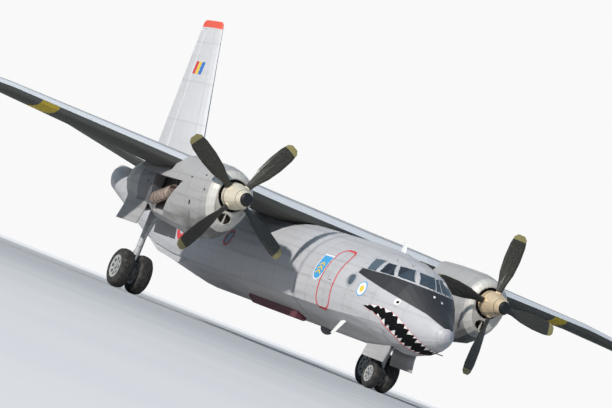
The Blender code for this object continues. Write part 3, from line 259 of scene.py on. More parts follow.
# station and height of the lower edge of the dark anti-glare panel, which comes to a point on top of the nose
GLARE_EDGE = ((0.30, 1.975), (0.52, 2.045), (0.90, 2.155), (1.49, 2.250), (2.35, 2.375), (3.31, 2.536))
skin = Finish("fuselage_skin", roughness=0.42, coat=0.15, coat_roughness=0.3)
skin_point, skin_x, skin_y, skin_z = skin.place()
skin_colour, skin_seams = panelled(skin, skin_y - DATUM_Y, skin_z, GREY)
skin_station = skin_y - DATUM_Y
edge_height = skin_station * 0 + GLARE_EDGE[0][1]
for (start, low), (end, high) in zip(GLARE_EDGE, GLARE_EDGE[1:]):
    share = ((skin_station - start) / (end - start)).math("MAXIMUM", 0.0).math("MINIMUM", 1.0)
    edge_height = edge_height + share * (high - low)
window_sill = 2.735 - (skin_station - 2.2).ramp(-0.1, 1.2) * 0.05
front_edge = skin_station.ramp(0.300, 0.305)
glare = (skin_z - edge_height).ramp(-0.006, 0.006) * (window_sill - skin_z).ramp(-0.004, 0.004)
glare = glare * front_edge * skin_station.ramp(3.36, 3.34)
skin_colour = skin.mix(glare * 0.97, skin_colour, (0.010, 0.010, 0.014))
# a narrow dark band round the fuselage in the plane of the propellers
band = skin_station.within(6.02, 6.20)
skin_colour = skin.mix(band * 0.30, skin_colour, (0.10, 0.11, 0.14))
# Painted shade and painted ground reflection: the skin turns darker and olive-brown in patches towards the bottom of
# the fuselage.
belly = skin_z.ramp(1.55, 1.05) * skin.noise(skin_point, 1.4, 5.0, (1, 0.3, 1)).ramp(0.25, 0.7)
skin_colour = skin.mix(belly * 0.45, skin_colour, (0.15, 0.145, 0.115))
skin.feed("Base Color", skin_colour)
skin.cover("nose_cone", "cockpit_shell", "cockpit_belly", "cabin_shell", "tail_shell", "tail_cone", "crew_door",
           "cargo_ramp", "ventral_fin_left", "ventral_fin_right", "nose_door_left", "nose_door_right")


# Markings, painted through stencils straight onto the skin: each is a thin film that follows the surface.
def skin_tree(*names):
    points, faces = [], []
    for name in names:
        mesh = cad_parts[name].data
        start = len(points)
        points.extend(corner.co.copy() for corner in mesh.vertices)
        faces.extend([start + i for i in face.vertices] for face in mesh.polygons)
    return BVHTree.FromPolygons(points, faces)


FUSELAGE = skin_tree("nose_cone", "cockpit_shell", "cockpit_belly", "cabin_shell", "tail_shell", "crew_door")
FIN = skin_tree("fin", "rudder")
LIFT, FILM_STEP = 0.003, 0.06


def sideways(side):
    """Carries (station, height) onto the side of the plane, along X."""
    return lambda s, z: (at(side * 5, s, z), Vector((-side, 0, 0)))


def film(name, outlines, onto, tree, finish, lift=LIFT, step=FILM_STEP):
    """Flat outlines in two numbers, cut fine and laid on the surface by rays."""
    bm = bmesh.new()
    for outline in outlines:
        bm.faces.new([bm.verts.new((u, v, 0)) for u, v in outline])
    for axis in (0, 1):
        low = min(vert.co[axis] for vert in bm.verts)
        high = max(vert.co[axis] for vert in bm.verts)
        normal = (1, 0, 0) if axis == 0 else (0, 1, 0)
        for i in range(1, math.ceil((high - low) / step)):
            place = [0, 0, 0]
            place[axis] = low + i * step
            geometry = list(bm.verts) + list(bm.edges) + list(bm.faces)
            bmesh.ops.bisect_plane(bm, geom=geometry, dist=1e-6, plane_co=place, plane_no=normal)
    bmesh.ops.triangulate(bm, faces=bm.faces)
    lost = []
    for vert in bm.verts:
        start, way = onto(vert.co.x, vert.co.y)
        hit, normal, _, _ = tree.ray_cast(start, way)
        if hit is None:
            lost.append(vert)
            continue
        out = normal if normal.dot(way) < 0 else -normal
        vert.co = hit + out * lift
    bmesh.ops.delete(bm, geom=lost, context="VERTS")
    bmesh.ops.recalc_face_normals(bm, faces=bm.faces)
    return piece_of(name, bm, finish, "airframe")


def marking(name, colour, roughness=0.45, worn=0.15):
    finish = Finish(name, roughness=roughness)
    point, x, y, z = finish.place()
    chips = finish.noise(point, 26.0, 6.0).ramp(0.62, 0.74)
    cloud = finish.noise(point, 3.0, 4.0)
    base = finish.mix(cloud * 0.35, colour, tuple(0.75 * part for part in colour))
    finish.feed("Base Color", finish.mix(chips * worn, base, GREY))
    finish.bump(finish.noise(point, 40.0, 3.0), 0.001, 0.3)
    finish.feed("Roughness", roughness + finish.noise(point, 9.0, 2.0) * 0.15)
    return finish


def ring_strips(outline, width, steps_out=1):
    """Quads along a closed outline, reaching outwards by a width."""
    middle = (sum(u for u, v in outline) / len(outline), sum(v for u, v in outline) / len(outline))
    outer = []
    for i, (u, v) in enumerate(outline):
        before, after = outline[i - 1], outline[(i + 1) % len(outline)]
        edge = Vector((after[0] - before[0], after[1] - before[1])).normalized()
        out = Vector((edge.y, -edge.x))
        if out.dot(Vector((u - middle[0], v - middle[1]))) < 0:
            out = -out
        outer.append((u + out.x * width, v + out.y * width))
    count = len(outline)
    return [[outline[i], outline[(i + 1) % count], outer[(i + 1) % count], outer[i]] for i in range(count)]


def oval(centre, half_u, half_v, steps=28):
    return [
        (centre[0] + half_u * math.cos(2 * math.pi * i / steps), centre[1] + half_v * math.sin(2 * math.pi * i / steps))
        for i in range(steps)
    ]


def rounded(low, high, radius, steps=5):
    """A rectangle between two corners with rounded corners."""
    points = []
    for cu, cv, start in ((high[0], high[1], 0), (low[0], high[1], 90), (low[0], low[1], 180), (high[0], low[1], 270)):
        u = cu - radius if cu == high[0] else cu + radius
        v = cv - radius if cv == high[1] else cv + radius
        for i in range(steps + 1):
            angle = math.radians(start + 90 * i / steps)
            points.append((u + radius * math.cos(angle), v + radius * math.sin(angle)))
    return points


black_film = marking("marking_black", (0.005, 0.005, 0.006), 0.75, 0.05)
white_film = marking("marking_white", (0.80, 0.80, 0.78))
red_film = marking("marking_red", (0.62, 0.045, 0.05))
black_film.shader.inputs["Specular IOR Level"].default_value = 0.12

# The grinning jaws: an upper and a lower jaw line as (station, angle from the belly's middle in degrees)
UPPER_JAW = ((0.68, 3), (0.80, 41), (1.05, 67), (1.52, 87), (2.10, 88), (2.62, 81))
LOWER_JAW = ((1.24, 3), (1.31, 22), (1.48, 43), (1.61, 55), (1.91, 70), (2.07, 75.5), (2.62, 81))
# station and height of the middle of the nose's sections
NOSE_MIDDLE = ((0.2, 1.80), (0.74, 1.815), (1.02, 1.835), (1.40, 1.88), (1.75, 1.93), (2.20, 1.98), (3.00, 2.04))
TEETH = 12


def along_line(line, share):
    """A point at a share of a polyline, by its number of points."""
    place = share * (len(line) - 1)
    i = min(int(place), len(line) - 2)
    return [a + (b - a) * (place - i) for a, b in zip(line[i], line[i + 1])]


def smooth_line(line, steps=24):
    """More points on a curve through the line's points."""
    curve = []
    for i in range(len(line) - 1):
        p0, p1, p2, p3 = line[max(i - 1, 0)], line[i], line[i + 1], line[min(i + 2, len(line) - 1)]
        for k in range(steps // 4):
            t = k / (steps // 4)
            curve.append(tuple(
                0.5 * (2 * b + (c - a) * t + (2 * a - 5 * b + 4 * c - d) * t * t + (3 * b - a - 3 * c + d) * t ** 3)
                for a, b, c, d in zip(p0, p1, p2, p3)
            ))
    return curve + [line[-1]]


upper_jaw, lower_jaw = smooth_line(UPPER_JAW), smooth_line(LOWER_JAW)


def jaw_point(across, down):
    """A point of the mouth: from the left corner (-1) to the right one (1), and from the upper jaw (0) to the lower (1)."""
    high, low = along_line(upper_jaw, abs(across)), along_line(lower_jaw, abs(across))
    s, angle = (a + (b - a) * down for a, b in zip(high, low))
    return s, math.copysign(angle, across)


def round_nose(s, angle):
    middle = next((
        z0 + (z1 - z0) * (s - s0) / (s1 - s0) for (s0, z0), (s1, z1) in zip(NOSE_MIDDLE, NOSE_MIDDLE[1:]) if s <= s1
    ), NOSE_MIDDLE[-1][1])
    out = Vector((-math.sin(math.radians(angle)), 0, -math.cos(math.radians(angle))))
    return at(0, s, middle) + out * 3, -out


def in_jaws(across, down):
    return round_nose(*jaw_point(across, down))


def grid(low, high, steps_u, steps_v=1):
    faces = []
    for i in range(steps_u):
        for k in range(steps_v):
            u0, u1 = (low[0] + (high[0] - low[0]) * (i + d) / steps_u for d in (0, 1))
            v0, v1 = (low[1] + (high[1] - low[1]) * (k + d) / steps_v for d in (0, 1))
            faces.append([(u0, v0), (u1, v0), (u1, v1), (u0, v1)])
    return faces


film("jaw_gum", grid((-0.97, 0.97), (0.97, 1.12), 90), in_jaws, FUSELAGE, red_film, LIFT, 0.5)
film("jaw_gum_upper", grid((-0.97, -0.04), (0.97, 0.03), 90), in_jaws, FUSELAGE, red_film, LIFT, 0.5)
film("jaw_mouth", grid((-1, 0), (1, 1), 96, 4), in_jaws, FUSELAGE, black_film, 2 * LIFT, 0.5)
teeth = []
for i in range(-TEETH, TEETH):
    start, end = i / TEETH * 0.93, (i + 1) / TEETH * 0.93
    middle, big = (start + end) / 2, i % 2 == 0
    reach = 0.30 if big else 0.16
    half = (end - start) / 2 * (1.00 if big else 0.60)
    teeth.append([(middle - half, 1.04), (middle + half, 1.04), (middle, 1 - reach)])
    shifted = middle + (end - start) / 2
    teeth.append([(shifted - half, -0.03), (shifted + half, -0.03), (shifted, reach * 0.95)])
film("jaw_teeth", teeth, in_jaws, FUSELAGE, white_film, 3 * LIFT, 0.05)

for side, side_name in ((1, "left"), (-1, "right")):
    onto = sideways(side)
    # Eye: white with a dark pupil that looks ahead
    film(f"eye_{side_name}", [oval((1.67, 2.185), 0.085, 0.080)], onto, FUSELAGE, white_film)
    film(f"pupil_{side_name}", [oval((1.655, 2.180), 0.036, 0.036)], onto, FUSELAGE, black_film, 2 * LIFT)

# Red line round the crew door
door_line = ring_strips(rounded((4.085, 1.455), (4.765, 2.975), 0.20), 0.05)
film("door_outline", door_line, sideways(-1), FUSELAGE, red_film)


# Badges of no real unit: a shield beside the door, an oval below the quarter window, three bars on the fin
# and an open ring on the rear fuselage, all sprayed through stencils.
blue_film = marking("marking_blue", (0.03, 0.16, 0.55))
sky_film = marking("marking_sky", (0.06, 0.34, 0.66))
yellow_film = marking("marking_yellow", (0.80, 0.55, 0.04))


def shield(centre, width, height):
    """Flat top, straight sides and a foot that runs to a point."""
    u, v = centre
    foot = [
        (u + width / 2 * math.cos(a), v - height * 0.1 + height * 0.4 * math.sin(a))
        for a in [-math.pi * i / 16 for i in range(17)]
    ]
    return [(u - width / 2, v + height / 2), (u + width / 2, v + height / 2), *foot]


SHIELD_AT, SHIELD_WIDTH, SHIELD_HEIGHT = (5.06, 2.38), 0.52, 0.72
OVAL_AT, OVAL_HALF = (2.86, 2.19), (0.15, 0.20)
for side, side_name in ((1, "left"), (-1, "right")):
    onto = sideways(side)
    film(f"shield_rim_{side_name}", [shield(SHIELD_AT, SHIELD_WIDTH, SHIELD_HEIGHT)], onto, FUSELAGE, white_film)
    field = shield(SHIELD_AT, SHIELD_WIDTH - 0.07, SHIELD_HEIGHT - 0.08)
    film(f"shield_field_{side_name}", [field], onto, FUSELAGE, sky_film, 2 * LIFT)
    chevrons = []
    for k in range(3):
        s, z = SHIELD_AT[0], SHIELD_AT[1] + 0.10 - 0.11 * k
        for way in (-1, 1):
            chevrons.append([(s, z), (s + way * 0.13, z - 0.08), (s + way * 0.13, z - 0.03), (s, z + 0.05)])
    film(f"shield_chevrons_{side_name}", chevrons, onto, FUSELAGE, yellow_film, 3 * LIFT)
    for number, (share, film_finish) in enumerate(((1.0, sky_film), (0.84, white_film), (0.42, yellow_film))):
        outline = oval(OVAL_AT, OVAL_HALF[0] * share, OVAL_HALF[1] * share)
        film(f"oval_badge_{number}_{side_name}", [outline], onto, FUSELAGE, film_finish, (number + 1) * LIFT)
    film(f"rear_ring_{side_name}", ring_strips(oval((14.0, 2.20), 0.17, 0.17), 0.17), onto, FUSELAGE, red_film)
    for station, film_finish in ((20.90, red_film), (20.64, yellow_film), (20.38, blue_film)):
        bar = [(station - 0.115, 6.84), (station + 0.115, 6.84), (station + 0.115, 7.24), (station - 0.115, 7.24)]
        film(f"fin_bar_{film_finish.material.name}_{side_name}", [bar], onto, FIN, film_finish)


# Windows: thick acrylic and glass panes in riveted metal frames, nearly flush with the skin; the round ones
# are single blown panes, and the one behind the right engine has a red ring.
pane = Finish("window_pane", roughness=0.06, coat=1.0, coat_roughness=0.03)
pane_point, pane_x, pane_y, pane_z = pane.place()
smears = pane.noise(pane_point, 6.0, 4.0, (1, 1, 0.4)).ramp(0.45, 0.8)
pane_station = pane_y - DATUM_Y
tint = pane.mix(pane_station.ramp(2.15, 2.25), (0.030, 0.045, 0.062), (0.006, 0.007, 0.013))
tint = pane.mix(pane_station.ramp(2.86, 2.94), tint, (0.075, 0.105, 0.135))
pane.feed("Base Color", pane.mix(smears * 0.35, tint, (0.10, 0.13, 0.16)))
pane.feed("Roughness", smears * 0.12 + 0.04)
pane.cover("cockpit_glass")
frame_film = marking("window_frame", (0.36, 0.38, 0.41), 0.35)

# outlines of the panes: (station, height) at the sides and (x, height) in front
SIDE_PANES = (
    ((3.16, 2.70), (3.33, 3.02), (2.97, 3.05), (2.87, 2.72)),
    ((2.74, 2.735), (2.84, 3.02), (2.62, 3.03), (2.29, 2.76)),
    ((2.17, 2.775), (2.50, 3.04), (2.12, 3.07), (1.71, 2.775)),
)
FRONT_PANES = (
    ((-0.07, 2.765), (0.07, 2.765), (0.035, 3.04), (-0.035, 3.04)),
    ((-0.47, 2.775), (-0.107, 2.775), (-0.062, 3.055), (-0.38, 3.06)),
    ((0.47, 2.775), (0.107, 2.775), (0.062, 3.055), (0.38, 3.06)),
)
# side, station, height, radius, ring finish
ROUND_WINDOWS = (
    ("right_front", -1, 3.42, 2.32, 0.14, frame_film), ("left_front", 1, 3.42, 2.32, 0.14, frame_film),
    ("right_rear", -1, 10.96, 2.36, 0.20, red_film), ("left_middle", 1, 7.00, 2.36, 0.20, frame_film),
    ("left_rear", 1, 10.96, 2.36, 0.20, frame_film),
)


def head_on(x, z):
    """Carries (x, height) onto the front of the plane, along Y."""
    return at(x, -1.5, z), Vector((0, 1, 0))


for side, side_name in ((1, "left"), (-1, "right")):
    rims = [strip for outline in SIDE_PANES for strip in ring_strips(outline, 0.022)]
    film(f"side_pane_frames_{side_name}", rims, sideways(side), FUSELAGE, frame_film, 2 * LIFT)
rims = [strip for outline in FRONT_PANES for strip in ring_strips(outline, 0.022)]
film("front_pane_frames", rims, head_on, FUSELAGE, frame_film, 2 * LIFT)
PANE_STEPS = 8


def flush_pane(name, outline, onto):
    """A pane that bends with the skin: its four edges lie on the skin, and its middle is spread between them."""
    corners = [Vector(corner) for corner in outline]

    def on_skin(start, end, share):
        spot = start + (end - start) * share
        middle = sum(corners, Vector((0, 0))) / 4
        spot = spot + (spot - middle).normalized() * 0.006
        return FUSELAGE.ray_cast(*onto(spot.x, spot.y))[0]

    steps = range(PANE_STEPS + 1)
    low, high = ([on_skin(corners[a], corners[b], i / PANE_STEPS) for i in steps] for a, b in ((0, 3), (1, 2)))
    left, right = ([on_skin(corners[a], corners[b], i / PANE_STEPS) for i in steps] for a, b in ((0, 1), (3, 2)))
    if None in low + high + left + right:
        return
    bm = bmesh.new()
    rows = []
    for k in steps:
        v = k / PANE_STEPS
        row = []
        for i in steps:
            u = i / PANE_STEPS
            spread = low[i] * (1 - v) + high[i] * v + left[k] * (1 - u) + right[k] * u
            spread -= low[0] * ((1 - u) * (1 - v)) + low[-1] * (u * (1 - v)) + high[0] * ((1 - u) * v) + high[-1] * (u * v)
            row.append(bm.verts.new(spread))
        rows.append(row)
    for k in range(PANE_STEPS):
        for i in range(PANE_STEPS):
            bm.faces.new((rows[k][i], rows[k][i + 1], rows[k + 1][i + 1], rows[k + 1][i]))
    bmesh.ops.recalc_face_normals(bm, faces=bm.faces)
    piece_of(name, bm, pane, "airframe")


for side, side_name in ((1, "left"), (-1, "right")):
    for number, outline in enumerate(SIDE_PANES):
        flush_pane(f"side_pane_{number}_{side_name}", outline, sideways(side))
for number, outline in enumerate(FRONT_PANES):
    flush_pane(f"front_pane_{number}", outline, head_on)
SHELL_AND_PANES = skin_tree("cockpit_shell", "cockpit_glass")
wiper_bars = []
for side in (-1, 1):
    foot, tip = Vector((side * 0.16, 2.73)), Vector((side * 0.33, 3.00))
    across = Vector((tip.y - foot.y, foot.x - tip.x)).normalized() * 0.009
    wiper_bars.append([tuple(foot - across), tuple(tip - across), tuple(tip + across), tuple(foot + across)])
film("wipers", wiper_bars, head_on, SHELL_AND_PANES, black_film, 0.02, 0.03)

for name, side, station, height, radius, ring_finish in ROUND_WINDOWS:
    onto = sideways(side)
    circle = oval((station, height), radius + 0.002, radius + 0.002, 32)
    film(f"{name}_ring", ring_strips(circle, 0.045), onto, FUSELAGE, ring_finish, 2 * LIFT, 1.0)
    edge = []
    for u, v in oval((station, height), radius + 0.01, radius + 0.01, 12):
        hit = FUSELAGE.ray_cast(*onto(u, v))[0]
        edge.append(hit)
    middle = sum(edge, Vector()) / len(edge)
    normal = (edge[0] - middle).cross(edge[3] - middle).normalized()
    normal = normal if normal.x * side > 0 else -normal
    pane_bm = bmesh.new()
    bmesh.ops.create_uvsphere(pane_bm, u_segments=32, v_segments=12, radius=radius)
    flat = Matrix.Diagonal((1, 1, 0.12, 1))
    facing = normal.to_track_quat("Z", "Y").to_matrix().to_4x4()
    bmesh.ops.transform(pane_bm, matrix=Matrix.Translation(middle - normal * 0.03) @ facing @ flat, verts=pane_bm.verts)
    piece_of(f"{name}_pane", pane_bm, pane, "airframe")


# Flight deck: an olive cloth seat each, a dark crackle-finished panel with round dials, a worn metal floor.
cloth = Finish("seat_cloth", roughness=0.9)
cloth_point, cloth_x, cloth_y, cloth_z = cloth.place()
weave = cloth_x.stripes(0.012, 0.004) + cloth_z.stripes(0.012, 0.004)
cloth.feed("Base Color", cloth.mix(cloth.noise(cloth_point, 9.0, 5.0), (0.05, 0.07, 0.05), (0.10, 0.11, 0.08)))
cloth.bump(weave, 0.002, 0.4)
cloth.cover("pilot_seat_left", "pilot_seat_right")
crackle = Finish("crackle_black", roughness=0.55)
crackle_point, _, _, _ = crackle.place()
grain = crackle.noise(crackle_point, 180.0, 3.0)
crackle.feed("Base Color", crackle.mix(grain, (0.012, 0.013, 0.015), (0.03, 0.032, 0.036)))
crackle.bump(grain, 0.002, 0.6)
crackle.cover("instrument_panel")
deck = Finish("deck_metal", roughness=0.45, metallic=0.7)
deck_point, deck_x, deck_y, deck_z = deck.place()
treads = deck.noise(deck_point, 30.0, 2.0).ramp(0.45, 0.55)
scuffs = deck.noise(deck_point, 2.0, 6.0).ramp(0.4, 0.7)
deck.feed("Base Color", deck.mix(scuffs, (0.26, 0.27, 0.26), (0.12, 0.12, 0.11)))
deck.feed("Roughness", scuffs * 0.3 + 0.35)
deck.bump(deck_x.stripes(0.10, 0.012) + deck_y.stripes(0.10, 0.012) + treads * 0.2, 0.004, 0.6)
deck.cover("cargo_floor", "cockpit_floor")
dial = Finish("dial_face", roughness=0.2, coat=0.6)
dial_point, dial_x, dial_y, dial_z = dial.place()
dial.feed("Base Color", dial.mix(dial.noise(dial_point, 60.0, 2.0).ramp(0.5, 0.6), (0.02, 0.02, 0.02), (0.5, 0.5, 0.45)))
panel_low, panel_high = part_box("instrument_panel")
DIAL_RADIUS, DIAL_RISE = 0.045, 0.10
for number in range(6):
    dial_bm = bmesh.new()
    x = (number - 2.5) * 0.16
    place = Vector((x, panel_high[1] + 0.004, panel_high[2] - DIAL_RISE))
    bmesh.ops.create_cone(
        dial_bm, cap_ends=True, segments=20, radius1=DIAL_RADIUS, radius2=DIAL_RADIUS, depth=0.012,
        matrix=Matrix.Translation(place) @ Matrix.Rotation(math.pi / 2, 4, "X"),
    )
    piece_of(f"dial_{number}", dial_bm, dial, "airframe")


# Aerials and small fittings: moulded white and grey housings bolted to the skin, probes of bare steel.
white_shell = marking("aerial_white", (0.78, 0.79, 0.78), 0.35)
white_shell.cover("roof_antenna", "belly_antenna")
maroon = marking("box_maroon", (0.12, 0.035, 0.048), 0.5, 0.3)
maroon.cover("belly_box")
steel = Finish("bare_steel", roughness=0.32, metallic=0.9)
steel_point, _, _, _ = steel.place()
steel_wear = steel.noise(steel_point, 14.0, 6.0)
steel.feed("Base Color", steel.mix(steel_wear.ramp(0.4, 0.7), (0.55, 0.55, 0.56), (0.30, 0.29, 0.28)))
steel.feed("Roughness", steel_wear * 0.3 + 0.18)
steel.bump(steel_wear, 0.001, 0.3)
dark_film = marking("panel_grey", (0.10, 0.10, 0.115), 0.5)
dark_film.cover("belly_dome")


def tube(name, points, radius, finish, body):
    """A pipe along a list of points."""
    curve = bpy.data.curves.new(name, "CURVE")
    curve.dimensions, curve.bevel_depth, curve.bevel_resolution = "3D", radius, 3
    curve.use_fill_caps = True
    line = curve.splines.new("POLY")
    line.points.add(len(points) - 1)
    for spot, point in zip(line.points, points):
        spot.co = (*point, 1)
    holder = bpy.data.objects.new(f"{name}_line", curve)
    bpy.context.scene.collection.objects.link(holder)
    shape = bpy.data.meshes.new_from_object(holder.evaluated_get(bpy.context.evaluated_depsgraph_get()))
    bpy.data.objects.remove(holder)
    bm = bmesh.new()
    bm.from_mesh(shape)
    return piece_of(name, bm, finish, body)


for side, side_name in ((1, "left"), (-1, "right")):
    root = at(side * 0.70, 1.95, 1.45)
    bend, tip = root + Vector((side * 0.10, 0, -0.06)), root + Vector((side * 0.12, -0.34, -0.06))
    tube(f"pitot_{side_name}", [root, bend, tip], 0.014, steel, "airframe")


def from_above(x, s):
    return at(x, s, 5.0), Vector((0, 0, -1))


film("nose_lights", [oval((-0.17, 1.25), 0.03, 0.03, 12), oval((0.02, 1.14), 0.03, 0.03, 12)], from_above, FUSELAGE,
     white_film, 2 * LIFT)
film("roof_fittings", [oval((0, 3.53), 0.03, 0.10, 12), oval((0, 2.84), 0.03, 0.07, 12)], from_above, FUSELAGE,
     dark_film, 2 * LIFT)
handle = [at(-1.395, 4.22, 2.14), at(-1.425, 4.22, 2.14), at(-1.425, 4.38, 2.14), at(-1.395, 4.38, 2.14)]
tube("door_handle", handle, 0.012, steel, "airframe")


# Wing: thick riveted box with slotted flaps and ailerons. The leading edge is polished by the de-icing air,
# the sheet behind it is painted, and the exhaust soils it behind the engines.
WING_FRONT, WING_FLAT, WING_SWEEP, POLISHED = 8.37, 3.10, 0.17063, 0.20
wing = Finish("wing_skin", roughness=0.50)
wing.shader.inputs["Specular IOR Level"].default_value = 0.25
wing_point, wing_x, wing_y, wing_z = wing.place()
span = abs(wing_x)
aft = wing_y - (DATUM_Y + WING_FRONT) - (span - WING_FLAT).math("MAXIMUM", 0.0) * WING_SWEEP
wing_colour, _ = panelled(wing, span, aft, (0.43, 0.435, 0.455), 1.2, 0.84, 0.36, 0.68)
soot = span.within(4.15, 4.9, 0.35) * aft.ramp(0.9, 2.6) * wing.noise(wing_point, 2.0, 5.0, (2, 0.3, 1)).ramp(0.3, 0.7)
wing_colour = wing.mix(soot * 0.75, wing_colour, (0.05, 0.05, 0.05))


def shade_facing_down(finish, colour, aft, share):
    """Painted shade: the sheet that faces down is darkened to a near-black olive, as the shaded underside with the
    ground's reflection in it.
    """
    parts = finish.tree.nodes.new("ShaderNodeSeparateXYZ")
    finish.tree.links.new(finish.node("ShaderNodeTexCoord", output=1).socket, parts.inputs[0])
    below = Value(finish, parts.outputs[2]).ramp(0.02, -0.22) * aft.ramp(-0.05, 0.02)
    return finish.mix(below * share, colour, (0.052, 0.054, 0.042)), below


polished = aft.ramp(POLISHED + 0.004, POLISHED - 0.004)
wing_colour = wing.mix(polished, wing_colour, (0.74, 0.76, 0.79))
# painted shade: the underside of the wing is darkened to a near-black olive
wing_colour, below = shade_facing_down(wing, wing_colour, aft, 0.90)
wing_colour = wing.mix(span.within(7.87, 8.35) * below * aft.ramp(0.0, 0.01) * 0.9, wing_colour, (0.62, 0.46, 0.05))
wing.feed("Base Color", wing_colour)
wing.feed("Metallic", polished * (1 - below) * 0.35)
wing.cover("wing_centre", "wing_left", "wing_right", "flap_inner_left", "flap_inner_right", "flap_outer_left",
           "flap_outer_right", "aileron_left", "aileron_right")
LIGHT_SIZE = 0.055
for side, colour in ((1, (0.65, 0.02, 0.02)), (-1, (0.02, 0.50, 0.12))):
    lamp_glass = Finish(f"tip_light_{side}", roughness=0.08, coat=1.0)
    lamp_point, _, _, _ = lamp_glass.place()
    lamp_glass.feed("Base Color", lamp_glass.mix(lamp_glass.noise(lamp_point, 90.0), colour, (0.3, 0.3, 0.3)))
    light_bm = bmesh.new()
    bmesh.ops.create_uvsphere(light_bm, u_segments=16, v_segments=10, radius=LIGHT_SIZE)
    wing_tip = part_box("wing_left" if side > 0 else "wing_right")
    lead = DATUM_Y + WING_FRONT + (14.40 - WING_FLAT) * WING_SWEEP
    spot = Vector((side * 14.40, lead + 0.02, (wing_tip[0][2] + wing_tip[0][2] + 0.08) / 2))
    bmesh.ops.transform(light_bm, matrix=Matrix.Translation(spot) @ Matrix.Diagonal((1, 2, 0.7, 1)), verts=light_bm.verts)
    piece_of(f"tip_light_{'left' if side > 0 else 'right'}", light_bm, lamp_glass, "airframe")


# Nacelles: aluminium cowls with a polished intake lip, latched panels and small ports. The slanting gap where
# the exhaust comes out is sooted and painted near-black as shade in the recess, the lower cowl is painted darker
# as shade with oily streaks, and the sheet behind the gap is a heat-stained steel panel.
ENGINE_X, SHAFT_Z = 3.95, 3.20
cowl = Finish("cowl_skin", roughness=0.36, coat=0.15, coat_roughness=0.3)
cowl_point, cowl_x, cowl_y, cowl_z = cowl.place()
beside, cowl_station = abs(cowl_x) - ENGINE_X, cowl_y - DATUM_Y
cowl_colour, _ = panelled(cowl, cowl_station, cowl_z, (0.40, 0.397, 0.395), 1.1, 0.86, 0.52)
# Oily streaks and painted shade: the cowl turns browner and darker towards its bottom.
oil_streaks_and_shade = cowl.noise(cowl_point, 2.2, 6.0, (1.5, 0.25, 1.2)).ramp(0.45, 0.75) * cowl_z.ramp(3.0, 2.1)
cowl_colour = cowl.mix(oil_streaks_and_shade * 0.55, cowl_colour, (0.10, 0.085, 0.065))
stain = beside.ramp(0.35, 0.45) * cowl_station.within(9.30, 10.62) * cowl_z.within(2.36, 3.17)
cowl_colour = cowl.mix(stain * 0.85, cowl_colour, (0.085, 0.085, 0.095))
paler = stain * cowl_station.ramp(10.02, 10.04)
cowl_colour = cowl.mix(paler * 0.75, cowl_colour, (0.16, 0.16, 0.17))
# Painted shade: the lower front of the cowl is darkened to a dark olive in patches.
chin_shade = cowl_station.ramp(8.1, 6.9) * cowl_z.ramp(2.62, 2.30) * cowl.noise(cowl_point, 1.6, 4.0).ramp(0.2, 0.6)
cowl_colour = cowl.mix(chin_shade * 0.72, cowl_colour, (0.060, 0.058, 0.044))
trail = beside.ramp(0.1, 0.4) * cowl_station.ramp(10.4, 12.0) * cowl_z.within(2.4, 3.1, 0.2)
cowl_colour = cowl.mix(trail * cowl.noise(cowl_point, 3.0, 5.0, (1, 0.2, 2)) * 0.8, cowl_colour, (0.20, 0.18, 0.16))
# Soot and painted shade: the recess round the exhaust on the outer side of the cowl is near-black.
recess_soot_and_shade = beside.within(0.05, 0.42) * cowl_station.within(7.60, 9.56) * cowl_z.within(2.30, 3.17)
cowl_colour = cowl.mix(recess_soot_and_shade, cowl_colour, cowl.mix(
    cowl.noise(cowl_point, 5.0, 5.0), (0.004, 0.004, 0.004), (0.030, 0.025, 0.020),
))
lip = cowl_station.ramp(6.155, 6.145)
cowl_colour = cowl.mix(lip, cowl_colour, (0.68, 0.66, 0.61))
cowl.feed("Base Color", cowl_colour)
cowl.feed("Metallic", lip * 0.4)
cowl.cover("nacelle_front_left", "nacelle_front_right", "nacelle_rear_left", "nacelle_rear_right",
           "main_door_outer_left", "main_door_outer_right", "main_door_inner_left", "main_door_inner_right")
NACELLES = skin_tree("nacelle_front_left", "nacelle_front_right", "nacelle_rear_left", "nacelle_rear_right")
# small ports and slots in the outer side of the cowl: station, height, half length, half height
PORTS = ((6.57, 3.45, 0.045, 0.02), (6.34, 3.09, 0.03, 0.03), (6.96, 2.68, 0.04, 0.06), (6.92, 2.40, 0.012, 0.11),
         (7.25, 3.30, 0.05, 0.02), (9.9, 2.9, 0.03, 0.03))
for side, side_name in ((1, "left"), (-1, "right")):
    ports = [oval((s, z), half_s, half_z, 12) for s, z, half_s, half_z in PORTS]
    film(f"cowl_ports_{side_name}", ports, sideways(side), NACELLES, black_film)
    inlet_bm = bmesh.new()
    place = Matrix.Translation(at(side * ENGINE_X, 6.22, SHAFT_Z)) @ Matrix.Rotation(math.pi / 2, 4, "X")
    VANES, INLET_INNER, INLET_OUTER = 24, 0.13, 0.56
    for number in range(VANES):
        a, b = (2 * math.pi * (number + turn_share) / VANES for turn_share in (0, 0.85))
        corners = [
            place @ Vector((r * math.cos(angle), r * math.sin(angle), rise))
            for r, angle, rise in ((INLET_INNER, a, 0), (INLET_OUTER, a, 0), (INLET_OUTER, b, -0.05), (INLET_INNER, b, -0.05))
        ]
        inlet_bm.faces.new([inlet_bm.verts.new(corner) for corner in corners])
    piece_of(f"inlet_vanes_{side_name}", inlet_bm, dark_film, "airframe", smooth=False)

